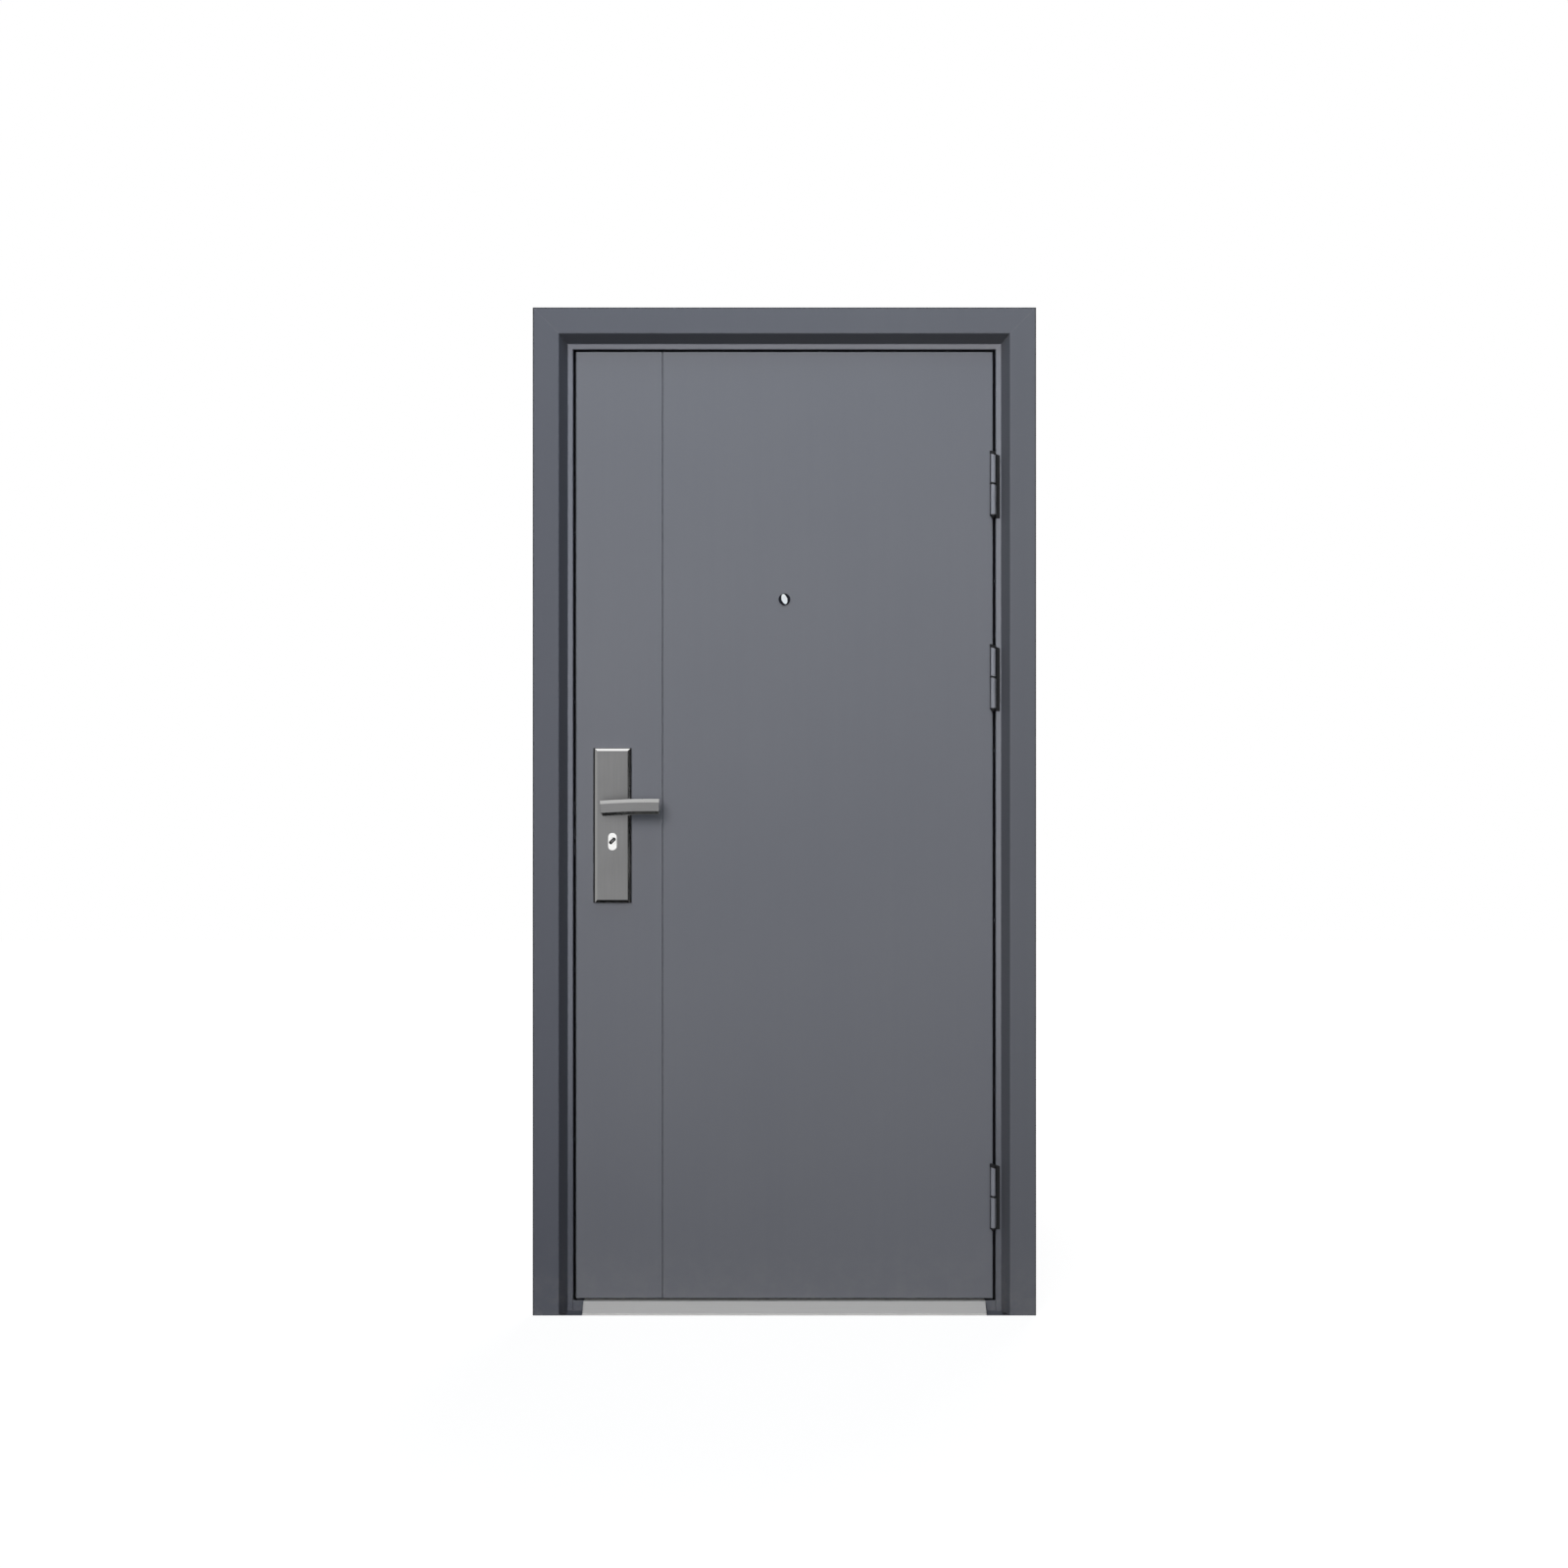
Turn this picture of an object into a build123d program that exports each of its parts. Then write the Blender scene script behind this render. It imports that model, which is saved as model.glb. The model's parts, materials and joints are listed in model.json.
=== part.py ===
from build123d import *
import os

# Steel security door: a folded steel frame with a stainless sill, and a hollow sheet-steel leaf
# that swings outwards on three lift-off hinges, with a lever lock and a door viewer.
# Millimetres. +Z is up, outside is towards -Y, and +X is to the right seen from outside.
# The origin is at floor level, in the middle of the sill's underside.

# Frame section, folded from one sheet and open towards the wall
FRAME_WIDTH = 1024.0
FRAME_HEIGHT = 2050.0
FRAME_SHEET = 1.5
FRAME_BEND = 3.0  # radius of the folds on the visible side
OUTER_LIP = 20.0
FACE_WIDTH = 53.0  # flat front face
BEVEL_WIDTH = 15.0  # how far the bevel runs in towards the leaf
STRIP_WIDTH = 11.5  # flat strip between the bevel and the leaf
STOP_WIDTH = 21.5  # face that the leaf closes against
SOFFIT_DEPTH = 12.5
BACK_FACE_WIDTH = 45.0
BACK_LIP = 15.0

# Sill, a closed stainless section with a ramp in front and a stop behind
SILL_SHEET = 1.5
SILL_HEIGHT = 22.5
SILL_TOE = 4.0
SILL_RAMP = 25.0
SILL_STOP_HEIGHT = 18.0

# Feet that close the rebate beside the sill
FOOT_SHEET = 1.5
FOOT_DEPTH = 5.0  # of the bar behind the sheet

# Leaf
LEAF_SETBACK = 30.0  # leaf face behind the frame face
LEAF_THICKNESS = 50.0
LEAF_GAP = 5.0  # between the edges of the leaf and the frame
STOP_GAP = 7.5  # between the back of the leaf and the stop
LEAF_SHEET = 1.0
LEAF_BEND = 3.0
LOCK_EDGE_LEAN = 2.5  # how far the lock edge leans in, so that its back corner clears the jamb
LAP_CLEARANCE = 0.2
BACK_FLANGE = 12.0
CHANNEL_FLANGE = 25.0
GROOVE_FROM_LOCK_EDGE = 178.0
GROOVE_WIDTH = 3.5
GROOVE_DEPTH = 2.5

# Seals on the stop
SEAL_WIDTH = 10.0
SEAL_CLEARANCE = 5.0  # to the back of the closed leaf
SEAL_CHAMFER = 1.0

# Hinges
TOP_HINGE_DROP = 271.5  # top of the leaf to the joint between the knuckles
MIDDLE_HINGE_DROP = 666.5
BOTTOM_HINGE_RISE = 210.5  # bottom of the leaf to the same joint
HINGE_INSET = 1.5  # hinge axis inside the edge of the leaf
KNUCKLE_DIAMETER = 12.0
KNUCKLE_LENGTH = 61.5
KNUCKLE_GAP = 4.0
KNUCKLE_CLEARANCE = 6.0  # knuckle to the plane of the leaf face
PIN_DIAMETER = 6.0
PIN_DEPTH = 45.0  # in each knuckle
PIN_SEAT_CLEARANCE = 0.02
PIN_RUN_CLEARANCE = 0.05
WING_DEPTH = 32.0  # back from the leaf face
WING_CLEARANCE = 1.0  # between the two closed wings
WING_INSET = 1.5  # wing shorter than the knuckle at each end
WING_CORNER = 6.0  # cut across its corners
PAD_WIDTH = 9.0
PAD_ABOVE_JOINT = 63.0  # at its inner edge, where its slanted top is highest
PAD_BELOW_JOINT = 69.5
PAD_SLANT = 3.5  # fall of the top across its width
PAD_THICKNESS = 1.0

# Handle plates
HANDLE_FROM_LOCK_EDGE = 76.5
LEVER_HEIGHT = 1032.0  # floor to the spindle
PLATE_WIDTH = 72.0
PLATE_LENGTH = 314.0
PLATE_ABOVE_LEVER = 121.0  # top of the plate above the spindle
PLATE_THICKNESS = 14.0
PLATE_BEVEL_WIDTH = 5.0
PLATE_BEVEL_DEPTH = 3.0

# Levers
LEVER_TAIL = 20.6  # spindle to the end nearest the lock edge
LEVER_REACH = 98.0  # spindle to the tip
LEVER_RISE = 3.5  # tip above tail
LEVER_BOW = 1.4
LEVER_DEPTH = 18.0
LEVER_FLAT = 17.0  # height of the flat front
LEVER_BEVEL = 7.5  # height of the bevels above and below it
LEVER_BEVEL_DEPTH = 4.5
LEVER_BACK_CHAMFER = 2.0
LEVER_HAND_SPACE = 26.0  # plate to the back of the lever
LEVER_TAIL_CUT = 5.0  # cut across the lower corner of the tail
NECK_DIAMETER = 20.0
NECK_CLEARANCE = 0.3
NECK_END_GAP = 2.0  # neck to the leaf
SPINDLE_SIZE = 8.0
SPINDLE_CLEARANCE = 0.05
SPINDLE_ENTRY = 24.0  # length of the spindle inside each neck

# Lock
KEY_DROP = 69.0  # spindle to the middle of the lock cylinder
CYLINDER_WIDTH = 18.0
CYLINDER_HEIGHT = 36.0
CYLINDER_PROUD = 1.5
CYLINDER_CLEARANCE = 0.15
PLUG_DIAMETER = 14.0
PLUG_RISE = 1.5  # plug above the middle of the cylinder
PLUG_CLEARANCE = 0.05
KEYWAY_LENGTH = 12.5
KEYWAY_WIDTH = 5.0
KEYWAY_DEPTH = 22.0
KEYWAY_ANGLE = 45.0
FACEPLATE_WIDTH = 24.0
FACEPLATE_LENGTH = 260.0
FACEPLATE_THICKNESS = 3.0
LOCK_CASE_THICKNESS = 18.0
LOCK_CASE_ABOVE_LEVER = 45.0
LOCK_CASE_BELOW_KEY = 60.0
LOCK_CASE_BEHIND_SPINDLE = 28.0
FOLLOWER_CLEARANCE = 1.2  # round the corners of the spindle
LATCH_HEIGHT = 22.0
LATCH_WIDTH = 12.0
BOLT_HEIGHT = 22.0
BOLT_WIDTH = 12.0
BOLT_SPACING = 34.0
BOLT_LENGTH = 40.0
BOLT_CLEARANCE = 0.15
KEEPER_CLEARANCE = 2.0  # round the latch and bolts in the jamb
KEEPER_MARGIN = 12.0
KEEPER_DEPTH = 28.0

# Door viewer
VIEWER_HEIGHT = 1459.0
VIEWER_FLANGE = 24.0
VIEWER_PROUD = 3.0
VIEWER_BARREL = 14.0
VIEWER_WALL = 1.0
VIEWER_CLEARANCE = 0.1
LENS_LENGTH = 21.0
LENS_WIDTH = 11.0
LENS_TILT = 17.0
LENS_PROUD = 1.5
LENS_STEM = 4.0  # length of the round stem in the barrel
EYEPIECE_BORE = 8.0

# Anchor holes in the jambs, through the sheet beside the leaf
ANCHOR_DIAMETER = 12.0
ANCHOR_MIDDLE = 975.0
LOCK_SIDE_SPACINGS = (550.0, 1250.0)
HINGE_SIDE_SPACINGS = (350.0, 1050.0)

# Depths, from the outside to the inside
rebate_inset = FACE_WIDTH + BEVEL_WIDTH + STRIP_WIDTH
soffit_inset = rebate_inset + STOP_WIDTH
stop_inset = LEAF_SETBACK + LEAF_THICKNESS + STOP_GAP
frame_depth = stop_inset + SOFFIT_DEPTH
frame_front = -frame_depth / 2
frame_back = frame_depth / 2
leaf_front = frame_front + LEAF_SETBACK
leaf_back = leaf_front + LEAF_THICKNESS
leaf_middle = (leaf_front + leaf_back) / 2
stop_face = leaf_back + STOP_GAP

# Half widths and heights
half_width = FRAME_WIDTH / 2
rebate = half_width - rebate_inset
soffit = half_width - soffit_inset
leaf_edge = rebate - LEAF_GAP
head_rebate = FRAME_HEIGHT - rebate_inset
head_soffit = FRAME_HEIGHT - soffit_inset
leaf_top = head_rebate - LEAF_GAP
leaf_bottom = SILL_HEIGHT + LEAF_GAP
leaf_height = leaf_top - leaf_bottom
sill_top = SILL_HEIGHT + SILL_STOP_HEIGHT

# Lock places
handle_x = -leaf_edge + HANDLE_FROM_LOCK_EDGE
key_z = LEVER_HEIGHT - KEY_DROP
plug_z = key_z + PLUG_RISE
plate_z = LEVER_HEIGHT + PLATE_ABOVE_LEVER - PLATE_LENGTH / 2
plate_front = leaf_front - PLATE_THICKNESS
plate_back = leaf_back + PLATE_THICKNESS
lock_case_top = LEVER_HEIGHT + LOCK_CASE_ABOVE_LEVER
lock_case_bottom = key_z - LOCK_CASE_BELOW_KEY
faceplate_z = (lock_case_top + lock_case_bottom) / 2
bolt_heights = [key_z + way * BOLT_SPACING / 2 for way in (-1, 1)]
follower_radius = SPINDLE_SIZE * 2**0.5 / 2 + FOLLOWER_CLEARANCE

# Planes: the two leaf faces, the middle of the leaf and the leaning lock edge
outside_face = Plane.XZ.offset(-leaf_front)
inside_face = Plane.XZ.offset(-leaf_back)
leaf_mid_plane = Plane.XZ.offset(-leaf_middle)
lean = LOCK_EDGE_LEAN / LEAF_THICKNESS
lock_edge = Plane(
    origin=(-leaf_edge + LOCK_EDGE_LEAN / 2, leaf_middle, 0),
    x_dir=(-lean, -1, 0),
    z_dir=(-1, lean, 0),
)
lock_side = Plane.YZ.offset(-half_width)

os.makedirs("parts", exist_ok=True)


def save(piece, name):
    """Label a finished piece and write it to a file of its own."""
    piece.part.label = name
    export_step(piece.part, f"parts/{name}.step")


def folded_sheet(plane, outline, sheet, bend):
    """Section of a folded sheet. The outline is its outer side, and the sheet lies to its left."""
    with BuildSketch(plane) as section:
        with BuildLine():
            FilletPolyline(*outline, radius=bend)
            offset(amount=sheet, side=Side.LEFT)
        make_face()
    return section.sketch


# Frame: two jambs and a head of one section, mitred at the top corners
frame_outline = (
    (0, OUTER_LIP),
    (0, 0),
    (FACE_WIDTH, 0),
    (FACE_WIDTH + BEVEL_WIDTH, LEAF_SETBACK),
    (rebate_inset, LEAF_SETBACK),
    (rebate_inset, stop_inset),
    (soffit_inset, stop_inset),
    (soffit_inset, frame_depth),
    (soffit_inset - BACK_FACE_WIDTH, frame_depth),
    (soffit_inset - BACK_FACE_WIDTH, frame_depth - BACK_LIP),
)
lock_corner = Plane(origin=(-half_width, 0, FRAME_HEIGHT), z_dir=(1, 0, 1))
hinge_corner = Plane(origin=(half_width, 0, FRAME_HEIGHT), z_dir=(-1, 0, 1))
lock_jamb_plane = Plane(origin=(-half_width, frame_front, 0), x_dir=(1, 0, 0), z_dir=(0, 0, 1))
hinge_jamb_plane = Plane(
    origin=(half_width, frame_front, FRAME_HEIGHT), x_dir=(-1, 0, 0), z_dir=(0, 0, -1)
)
head_plane = Plane(
    origin=(-half_width, frame_front, FRAME_HEIGHT), x_dir=(0, 0, -1), z_dir=(1, 0, 0)
)


def anchor_places(side, spacings):
    """Anchor holes above and below the middle height, seen from the leaf."""
    inward = (-side, 0, 0)
    heights = [ANCHOR_MIDDLE + way * spacing / 2 for spacing in spacings for way in (-1, 1)]
    return [Plane(origin=(side * rebate, leaf_middle, z), z_dir=inward) for z in heights]


with BuildPart() as lock_jamb:
    extrude(folded_sheet(lock_jamb_plane, frame_outline, FRAME_SHEET, FRAME_BEND), FRAME_HEIGHT)
    split(bisect_by=lock_corner, keep=Keep.BOTTOM)
    with Locations(*anchor_places(-1, LOCK_SIDE_SPACINGS)):
        Hole(ANCHOR_DIAMETER / 2, depth=2 * FRAME_SHEET)
    with BuildSketch(Plane.YZ.offset(-rebate)):
        with Locations((leaf_middle, LEVER_HEIGHT)):
            Rectangle(LATCH_WIDTH + 2 * KEEPER_CLEARANCE, LATCH_HEIGHT + 2 * KEEPER_CLEARANCE)
        with Locations(*[(leaf_middle, z) for z in bolt_heights]):
            Rectangle(BOLT_WIDTH + 2 * KEEPER_CLEARANCE, BOLT_HEIGHT + 2 * KEEPER_CLEARANCE)
    extrude(amount=-2 * FRAME_SHEET, mode=Mode.SUBTRACT)
save(lock_jamb, "lock_jamb")

with BuildPart() as hinge_jamb:
    extrude(folded_sheet(hinge_jamb_plane, frame_outline, FRAME_SHEET, FRAME_BEND), FRAME_HEIGHT)
    split(bisect_by=hinge_corner, keep=Keep.BOTTOM)
    with Locations(*anchor_places(1, HINGE_SIDE_SPACINGS)):
        Hole(ANCHOR_DIAMETER / 2, depth=2 * FRAME_SHEET)
save(hinge_jamb, "hinge_jamb")

with BuildPart() as head:
    extrude(folded_sheet(head_plane, frame_outline, FRAME_SHEET, FRAME_BEND), FRAME_WIDTH)
    split(bisect_by=lock_corner, keep=Keep.TOP)
    split(bisect_by=hinge_corner, keep=Keep.TOP)
save(head, "head")

# Keeper box behind the lock jamb, which keeps mortar out of the way of the bolts
keeper_bottom = bolt_heights[0] - BOLT_HEIGHT / 2 - KEEPER_MARGIN
keeper_top = LEVER_HEIGHT + LATCH_HEIGHT / 2 + KEEPER_MARGIN
with BuildPart() as keeper_box:
    with BuildSketch(Plane.YZ.offset(-rebate - FRAME_SHEET)):
        with Locations((leaf_middle, (keeper_bottom + keeper_top) / 2)):
            Rectangle(BOLT_WIDTH + 2 * KEEPER_MARGIN, keeper_top - keeper_bottom)
    extrude(amount=-KEEPER_DEPTH)
    offset(amount=-FRAME_SHEET, openings=keeper_box.faces().sort_by(Axis.X)[-1])
save(keeper_box, "keeper_box")

# Sill
sill_outline = (
    (frame_front, 0),
    (frame_front, SILL_TOE),
    (frame_front + SILL_RAMP, SILL_HEIGHT),
    (stop_face, SILL_HEIGHT),
    (stop_face, sill_top),
    (frame_back, sill_top),
    (frame_back, 0),
)
with BuildPart() as sill:
    with BuildSketch(Plane.YZ.offset(-soffit)):
        with BuildLine():
            Polyline(*sill_outline, close=True)
        make_face()
        offset(amount=-SILL_SHEET, kind=Kind.INTERSECTION, mode=Mode.SUBTRACT)
    extrude(amount=2 * soffit)
save(sill, "sill")

# Feet: a sheet on the floor beside the sill, with a bar across the front of the rebate
bevel_start = half_width - FACE_WIDTH
bevel_end = bevel_start - BEVEL_WIDTH
foot_outline = (
    (soffit, frame_front),
    (bevel_start, frame_front),
    (bevel_end, leaf_front),
    (rebate, leaf_front),
    (rebate, stop_face),
    (soffit, stop_face),
)
for name, side in (("lock_side_foot", -1), ("hinge_side_foot", 1)):
    with BuildPart() as foot:
        with BuildSketch() as foot_sheet:
            with BuildLine():
                Polyline(*[(side * x, y) for x, y in foot_outline], close=True)
            make_face()
            for x, y in ((bevel_end, leaf_front), (rebate, stop_face)):
                chamfer(foot_sheet.vertices().sort_by_distance((side * x, y))[0], FRAME_BEND)
        extrude(amount=FOOT_SHEET)
        with BuildSketch():
            with Locations((side * (rebate + soffit) / 2, leaf_front)):
                Rectangle(STOP_WIDTH, FOOT_DEPTH, align=(Align.CENTER, Align.MIN))
        extrude(amount=SILL_HEIGHT)
    save(foot, name)

# Seals: flat strips with chamfered fronts, in the middle of the leaf's lap over the stop
seal_depth = STOP_GAP - SEAL_CLEARANCE
seal_x = (leaf_edge + soffit) / 2
head_seal_z = (leaf_top + head_soffit) / 2
sill_seal_z = (leaf_bottom + sill_top) / 2
seal_end_z = head_seal_z + SEAL_WIDTH / 2


def seal_section(plane):
    """Seal profile: its flat back lies on the stop, at the plane's own origin."""
    with BuildSketch(plane) as section:
        Rectangle(SEAL_WIDTH, seal_depth, align=(Align.CENTER, Align.MAX))
        chamfer(section.vertices().group_by(Axis.Y)[0], SEAL_CHAMFER)
    return section.sketch


for name, side in (("lock_side_seal", -1), ("hinge_side_seal", 1)):
    with BuildPart() as jamb_seal:
        extrude(
            seal_section(Plane(origin=(side * seal_x, stop_face, SILL_HEIGHT))),
            amount=seal_end_z - SILL_HEIGHT,
        )
    save(jamb_seal, name)

cross_seals = (
    ("head_seal", head_seal_z, seal_x - SEAL_WIDTH / 2),
    ("sill_seal", sill_seal_z, soffit),
)
for name, z, half_length in cross_seals:
    with BuildPart() as cross_seal:
        start = Plane(origin=(-half_length, stop_face, z), x_dir=(0, 0, -1), z_dir=(1, 0, 0))
        extrude(seal_section(start), amount=2 * half_length)
    save(cross_seal, name)

# Leaf skins. The front skin is wrapped round both upright edges, and the back skin laps inside it.
groove_x = -leaf_edge + GROOVE_FROM_LOCK_EDGE
front_skin_outline = (
    (-leaf_edge + LOCK_EDGE_LEAN, leaf_back),
    (-leaf_edge, leaf_front),
    (groove_x - GROOVE_WIDTH / 2, leaf_front),
    (groove_x, leaf_front + GROOVE_DEPTH),
    (groove_x + GROOVE_WIDTH / 2, leaf_front),
    (leaf_edge, leaf_front),
    (leaf_edge, leaf_back),
)
lap = LEAF_SHEET + LAP_CLEARANCE
flange_front = leaf_back - BACK_FLANGE
back_skin_outline = (
    (leaf_edge - lap, flange_front),
    (leaf_edge - lap, leaf_back),
    (-leaf_edge + LOCK_EDGE_LEAN + lap, leaf_back),
    (-leaf_edge + LOCK_EDGE_LEAN + lap - lean * BACK_FLANGE, flange_front),
)
leaf_base = Plane.XY.offset(leaf_bottom)
cylinder_hole = CYLINDER_HEIGHT + 2 * CYLINDER_CLEARANCE
cylinder_hole_width = CYLINDER_WIDTH + 2 * CYLINDER_CLEARANCE
neck_hole_radius = NECK_DIAMETER / 2 + NECK_CLEARANCE


def lock_holes(plane):
    """Holes for the lever's neck and the lock cylinder, drawn on an upright plane."""
    with BuildSketch(plane) as holes:
        with Locations((handle_x, LEVER_HEIGHT)):
            Circle(neck_hole_radius)
        with Locations((handle_x, key_z)):
            SlotOverall(cylinder_hole, cylinder_hole_width, rotation=90)
    return holes.sketch


def viewer_hole(plane):
    """Hole for the barrel of the door viewer."""
    with BuildSketch(plane) as hole:
        with Locations((0, VIEWER_HEIGHT)):
            Circle(VIEWER_BARREL / 2 + VIEWER_CLEARANCE)
    return hole.sketch


def faceplate_outline(plane, clearance):
    """Outline of the lock's faceplate, on the lock edge."""
    with BuildSketch(plane) as outline:
        with Locations((0, faceplate_z)):
            Rectangle(FACEPLATE_WIDTH + 2 * clearance, FACEPLATE_LENGTH + 2 * clearance)
    return outline.sketch


with BuildPart() as front_skin:
    bends = (LEAF_BEND, 0, 0, 0, LEAF_BEND)
    extrude(folded_sheet(leaf_base, front_skin_outline, LEAF_SHEET, bends), leaf_height)
    extrude(lock_holes(outside_face), amount=-2 * LEAF_SHEET, mode=Mode.SUBTRACT)
    extrude(viewer_hole(outside_face), amount=-2 * LEAF_SHEET, mode=Mode.SUBTRACT)
    extrude(faceplate_outline(lock_edge, LAP_CLEARANCE), amount=-2 * LEAF_SHEET, mode=Mode.SUBTRACT)
save(front_skin, "front_skin")

with BuildPart() as back_skin:
    extrude(folded_sheet(leaf_base, back_skin_outline, LEAF_SHEET, LEAF_BEND), leaf_height)
    extrude(lock_holes(inside_face), amount=2 * LEAF_SHEET, mode=Mode.SUBTRACT)
    extrude(viewer_hole(inside_face), amount=2 * LEAF_SHEET, mode=Mode.SUBTRACT)
    notch_depth = 2 * lap + LEAF_SHEET
    extrude(faceplate_outline(lock_edge, LAP_CLEARANCE), amount=-notch_depth, mode=Mode.SUBTRACT)
save(back_skin, "back_skin")

# Channels that close the leaf at the top and bottom, notched for the groove in the front skin
channel_front = leaf_front + lap
channel_back = leaf_back - lap
channel_inset = 2 * lap + LEAF_BEND
channel_start = Plane.YZ.offset(-leaf_edge + LOCK_EDGE_LEAN + channel_inset)
channel_length = 2 * leaf_edge - LOCK_EDGE_LEAN - 2 * channel_inset
sharp_folds = (0, 0)
top_channel_outline = (
    (channel_back, leaf_top - CHANNEL_FLANGE),
    (channel_back, leaf_top),
    (channel_front, leaf_top),
    (channel_front, leaf_top - CHANNEL_FLANGE),
)
bottom_channel_outline = (
    (channel_front, leaf_bottom + CHANNEL_FLANGE),
    (channel_front, leaf_bottom),
    (channel_back, leaf_bottom),
    (channel_back, leaf_bottom + CHANNEL_FLANGE),
)
for name, outline in (
    ("top_channel", top_channel_outline),
    ("bottom_channel", bottom_channel_outline),
):
    with BuildPart() as channel:
        extrude(folded_sheet(channel_start, outline, LEAF_SHEET, sharp_folds), amount=channel_length)
        with BuildSketch(leaf_base):
            with Locations((groove_x, leaf_front)):
                Rectangle(GROOVE_WIDTH + 4 * lap, 2 * (GROOVE_DEPTH + 2 * lap))
        extrude(amount=leaf_height, mode=Mode.SUBTRACT)
    save(channel, name)

# Lock: a case in the leaf behind a faceplate, with its latch and bolts drawn back flush
behind_faceplate = lock_edge.offset(-FACEPLATE_THICKNESS)


def bolt_outlines(clearance):
    """Latch and bolts seen along their travel."""
    with BuildSketch(lock_side) as outlines:
        with Locations((leaf_middle, LEVER_HEIGHT)):
            Rectangle(LATCH_WIDTH + 2 * clearance, LATCH_HEIGHT + 2 * clearance)
        with Locations(*[(leaf_middle, z) for z in bolt_heights]):
            Rectangle(BOLT_WIDTH + 2 * clearance, BOLT_HEIGHT + 2 * clearance)
    return outlines.sketch


bolt_end = half_width - leaf_edge + BOLT_LENGTH
with BuildPart() as lock_case:
    with BuildSketch(lock_side):
        with Locations((leaf_middle, faceplate_z)):
            Rectangle(LOCK_CASE_THICKNESS, lock_case_top - lock_case_bottom)
    extrude(amount=half_width + handle_x + LOCK_CASE_BEHIND_SPINDLE)
    split(bisect_by=behind_faceplate, keep=Keep.BOTTOM)
    extrude(bolt_outlines(BOLT_CLEARANCE), amount=bolt_end + BOLT_CLEARANCE, mode=Mode.SUBTRACT)
    with BuildSketch(leaf_mid_plane):
        with Locations((handle_x, LEVER_HEIGHT)):
            Circle(follower_radius)
        with Locations((handle_x, key_z)):
            SlotOverall(cylinder_hole, cylinder_hole_width, rotation=90)
    extrude(amount=LOCK_CASE_THICKNESS, both=True, mode=Mode.SUBTRACT)
save(lock_case, "lock_case")

with BuildPart() as lock_faceplate:
    extrude(faceplate_outline(behind_faceplate, 0), amount=FACEPLATE_THICKNESS)
    extrude(bolt_outlines(BOLT_CLEARANCE), amount=bolt_end, mode=Mode.SUBTRACT)
save(lock_faceplate, "lock_faceplate")

with BuildPart() as latch:
    with BuildSketch(lock_side):
        with Locations((leaf_middle, LEVER_HEIGHT)):
            Rectangle(LATCH_WIDTH, LATCH_HEIGHT)
    extrude(amount=bolt_end)
    split(bisect_by=lock_edge, keep=Keep.BOTTOM)
save(latch, "latch")

with BuildPart() as lock_bolts:
    with BuildSketch(lock_side):
        with Locations(*[(leaf_middle, z) for z in bolt_heights]):
            Rectangle(BOLT_WIDTH, BOLT_HEIGHT)
    extrude(amount=bolt_end)
    split(bisect_by=lock_edge, keep=Keep.BOTTOM)
save(lock_bolts, "lock_bolts")

# Handle plates, bevelled round the front, the inside one mirrored through the leaf
with BuildPart() as outside_plate:
    with BuildSketch(outside_face):
        with Locations((handle_x, plate_z)):
            Rectangle(PLATE_WIDTH, PLATE_LENGTH)
    extrude(amount=PLATE_THICKNESS)
    plate_face = outside_plate.faces().sort_by(Axis.Y)[0]
    chamfer(plate_face.edges(), PLATE_BEVEL_WIDTH, PLATE_BEVEL_DEPTH, reference=plate_face)
    extrude(lock_holes(outside_face), amount=PLATE_THICKNESS, mode=Mode.SUBTRACT)
save(outside_plate, "outside_plate")

with BuildPart() as inside_plate:
    mirror(outside_plate.part, about=leaf_mid_plane)
save(inside_plate, "inside_plate")

# Lock cylinder through the leaf, with a plug that turns in it
cylinder_front = Plane.XZ.offset(-plate_front + CYLINDER_PROUD)
cylinder_length = plate_back - plate_front + 2 * CYLINDER_PROUD
with BuildPart() as lock_cylinder:
    with BuildSketch(cylinder_front):
        with Locations((handle_x, key_z)):
            SlotOverall(CYLINDER_HEIGHT, CYLINDER_WIDTH, rotation=90)
        with Locations((handle_x, plug_z)):
            Circle(PLUG_DIAMETER / 2 + PLUG_CLEARANCE, mode=Mode.SUBTRACT)
    extrude(amount=-cylinder_length)
save(lock_cylinder, "lock_cylinder")

with BuildPart() as key_plug:
    with BuildSketch(cylinder_front):
        with Locations((handle_x, plug_z)):
            Circle(PLUG_DIAMETER / 2)
    extrude(amount=-cylinder_length)
    for face_plane, way in ((cylinder_front, -1), (cylinder_front.offset(-cylinder_length), 1)):
        with BuildSketch(face_plane):
            with Locations((handle_x, plug_z)):
                SlotOverall(KEYWAY_LENGTH, KEYWAY_WIDTH, rotation=KEYWAY_ANGLE)
        extrude(amount=way * KEYWAY_DEPTH, mode=Mode.SUBTRACT)
save(key_plug, "key_plug")

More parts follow.
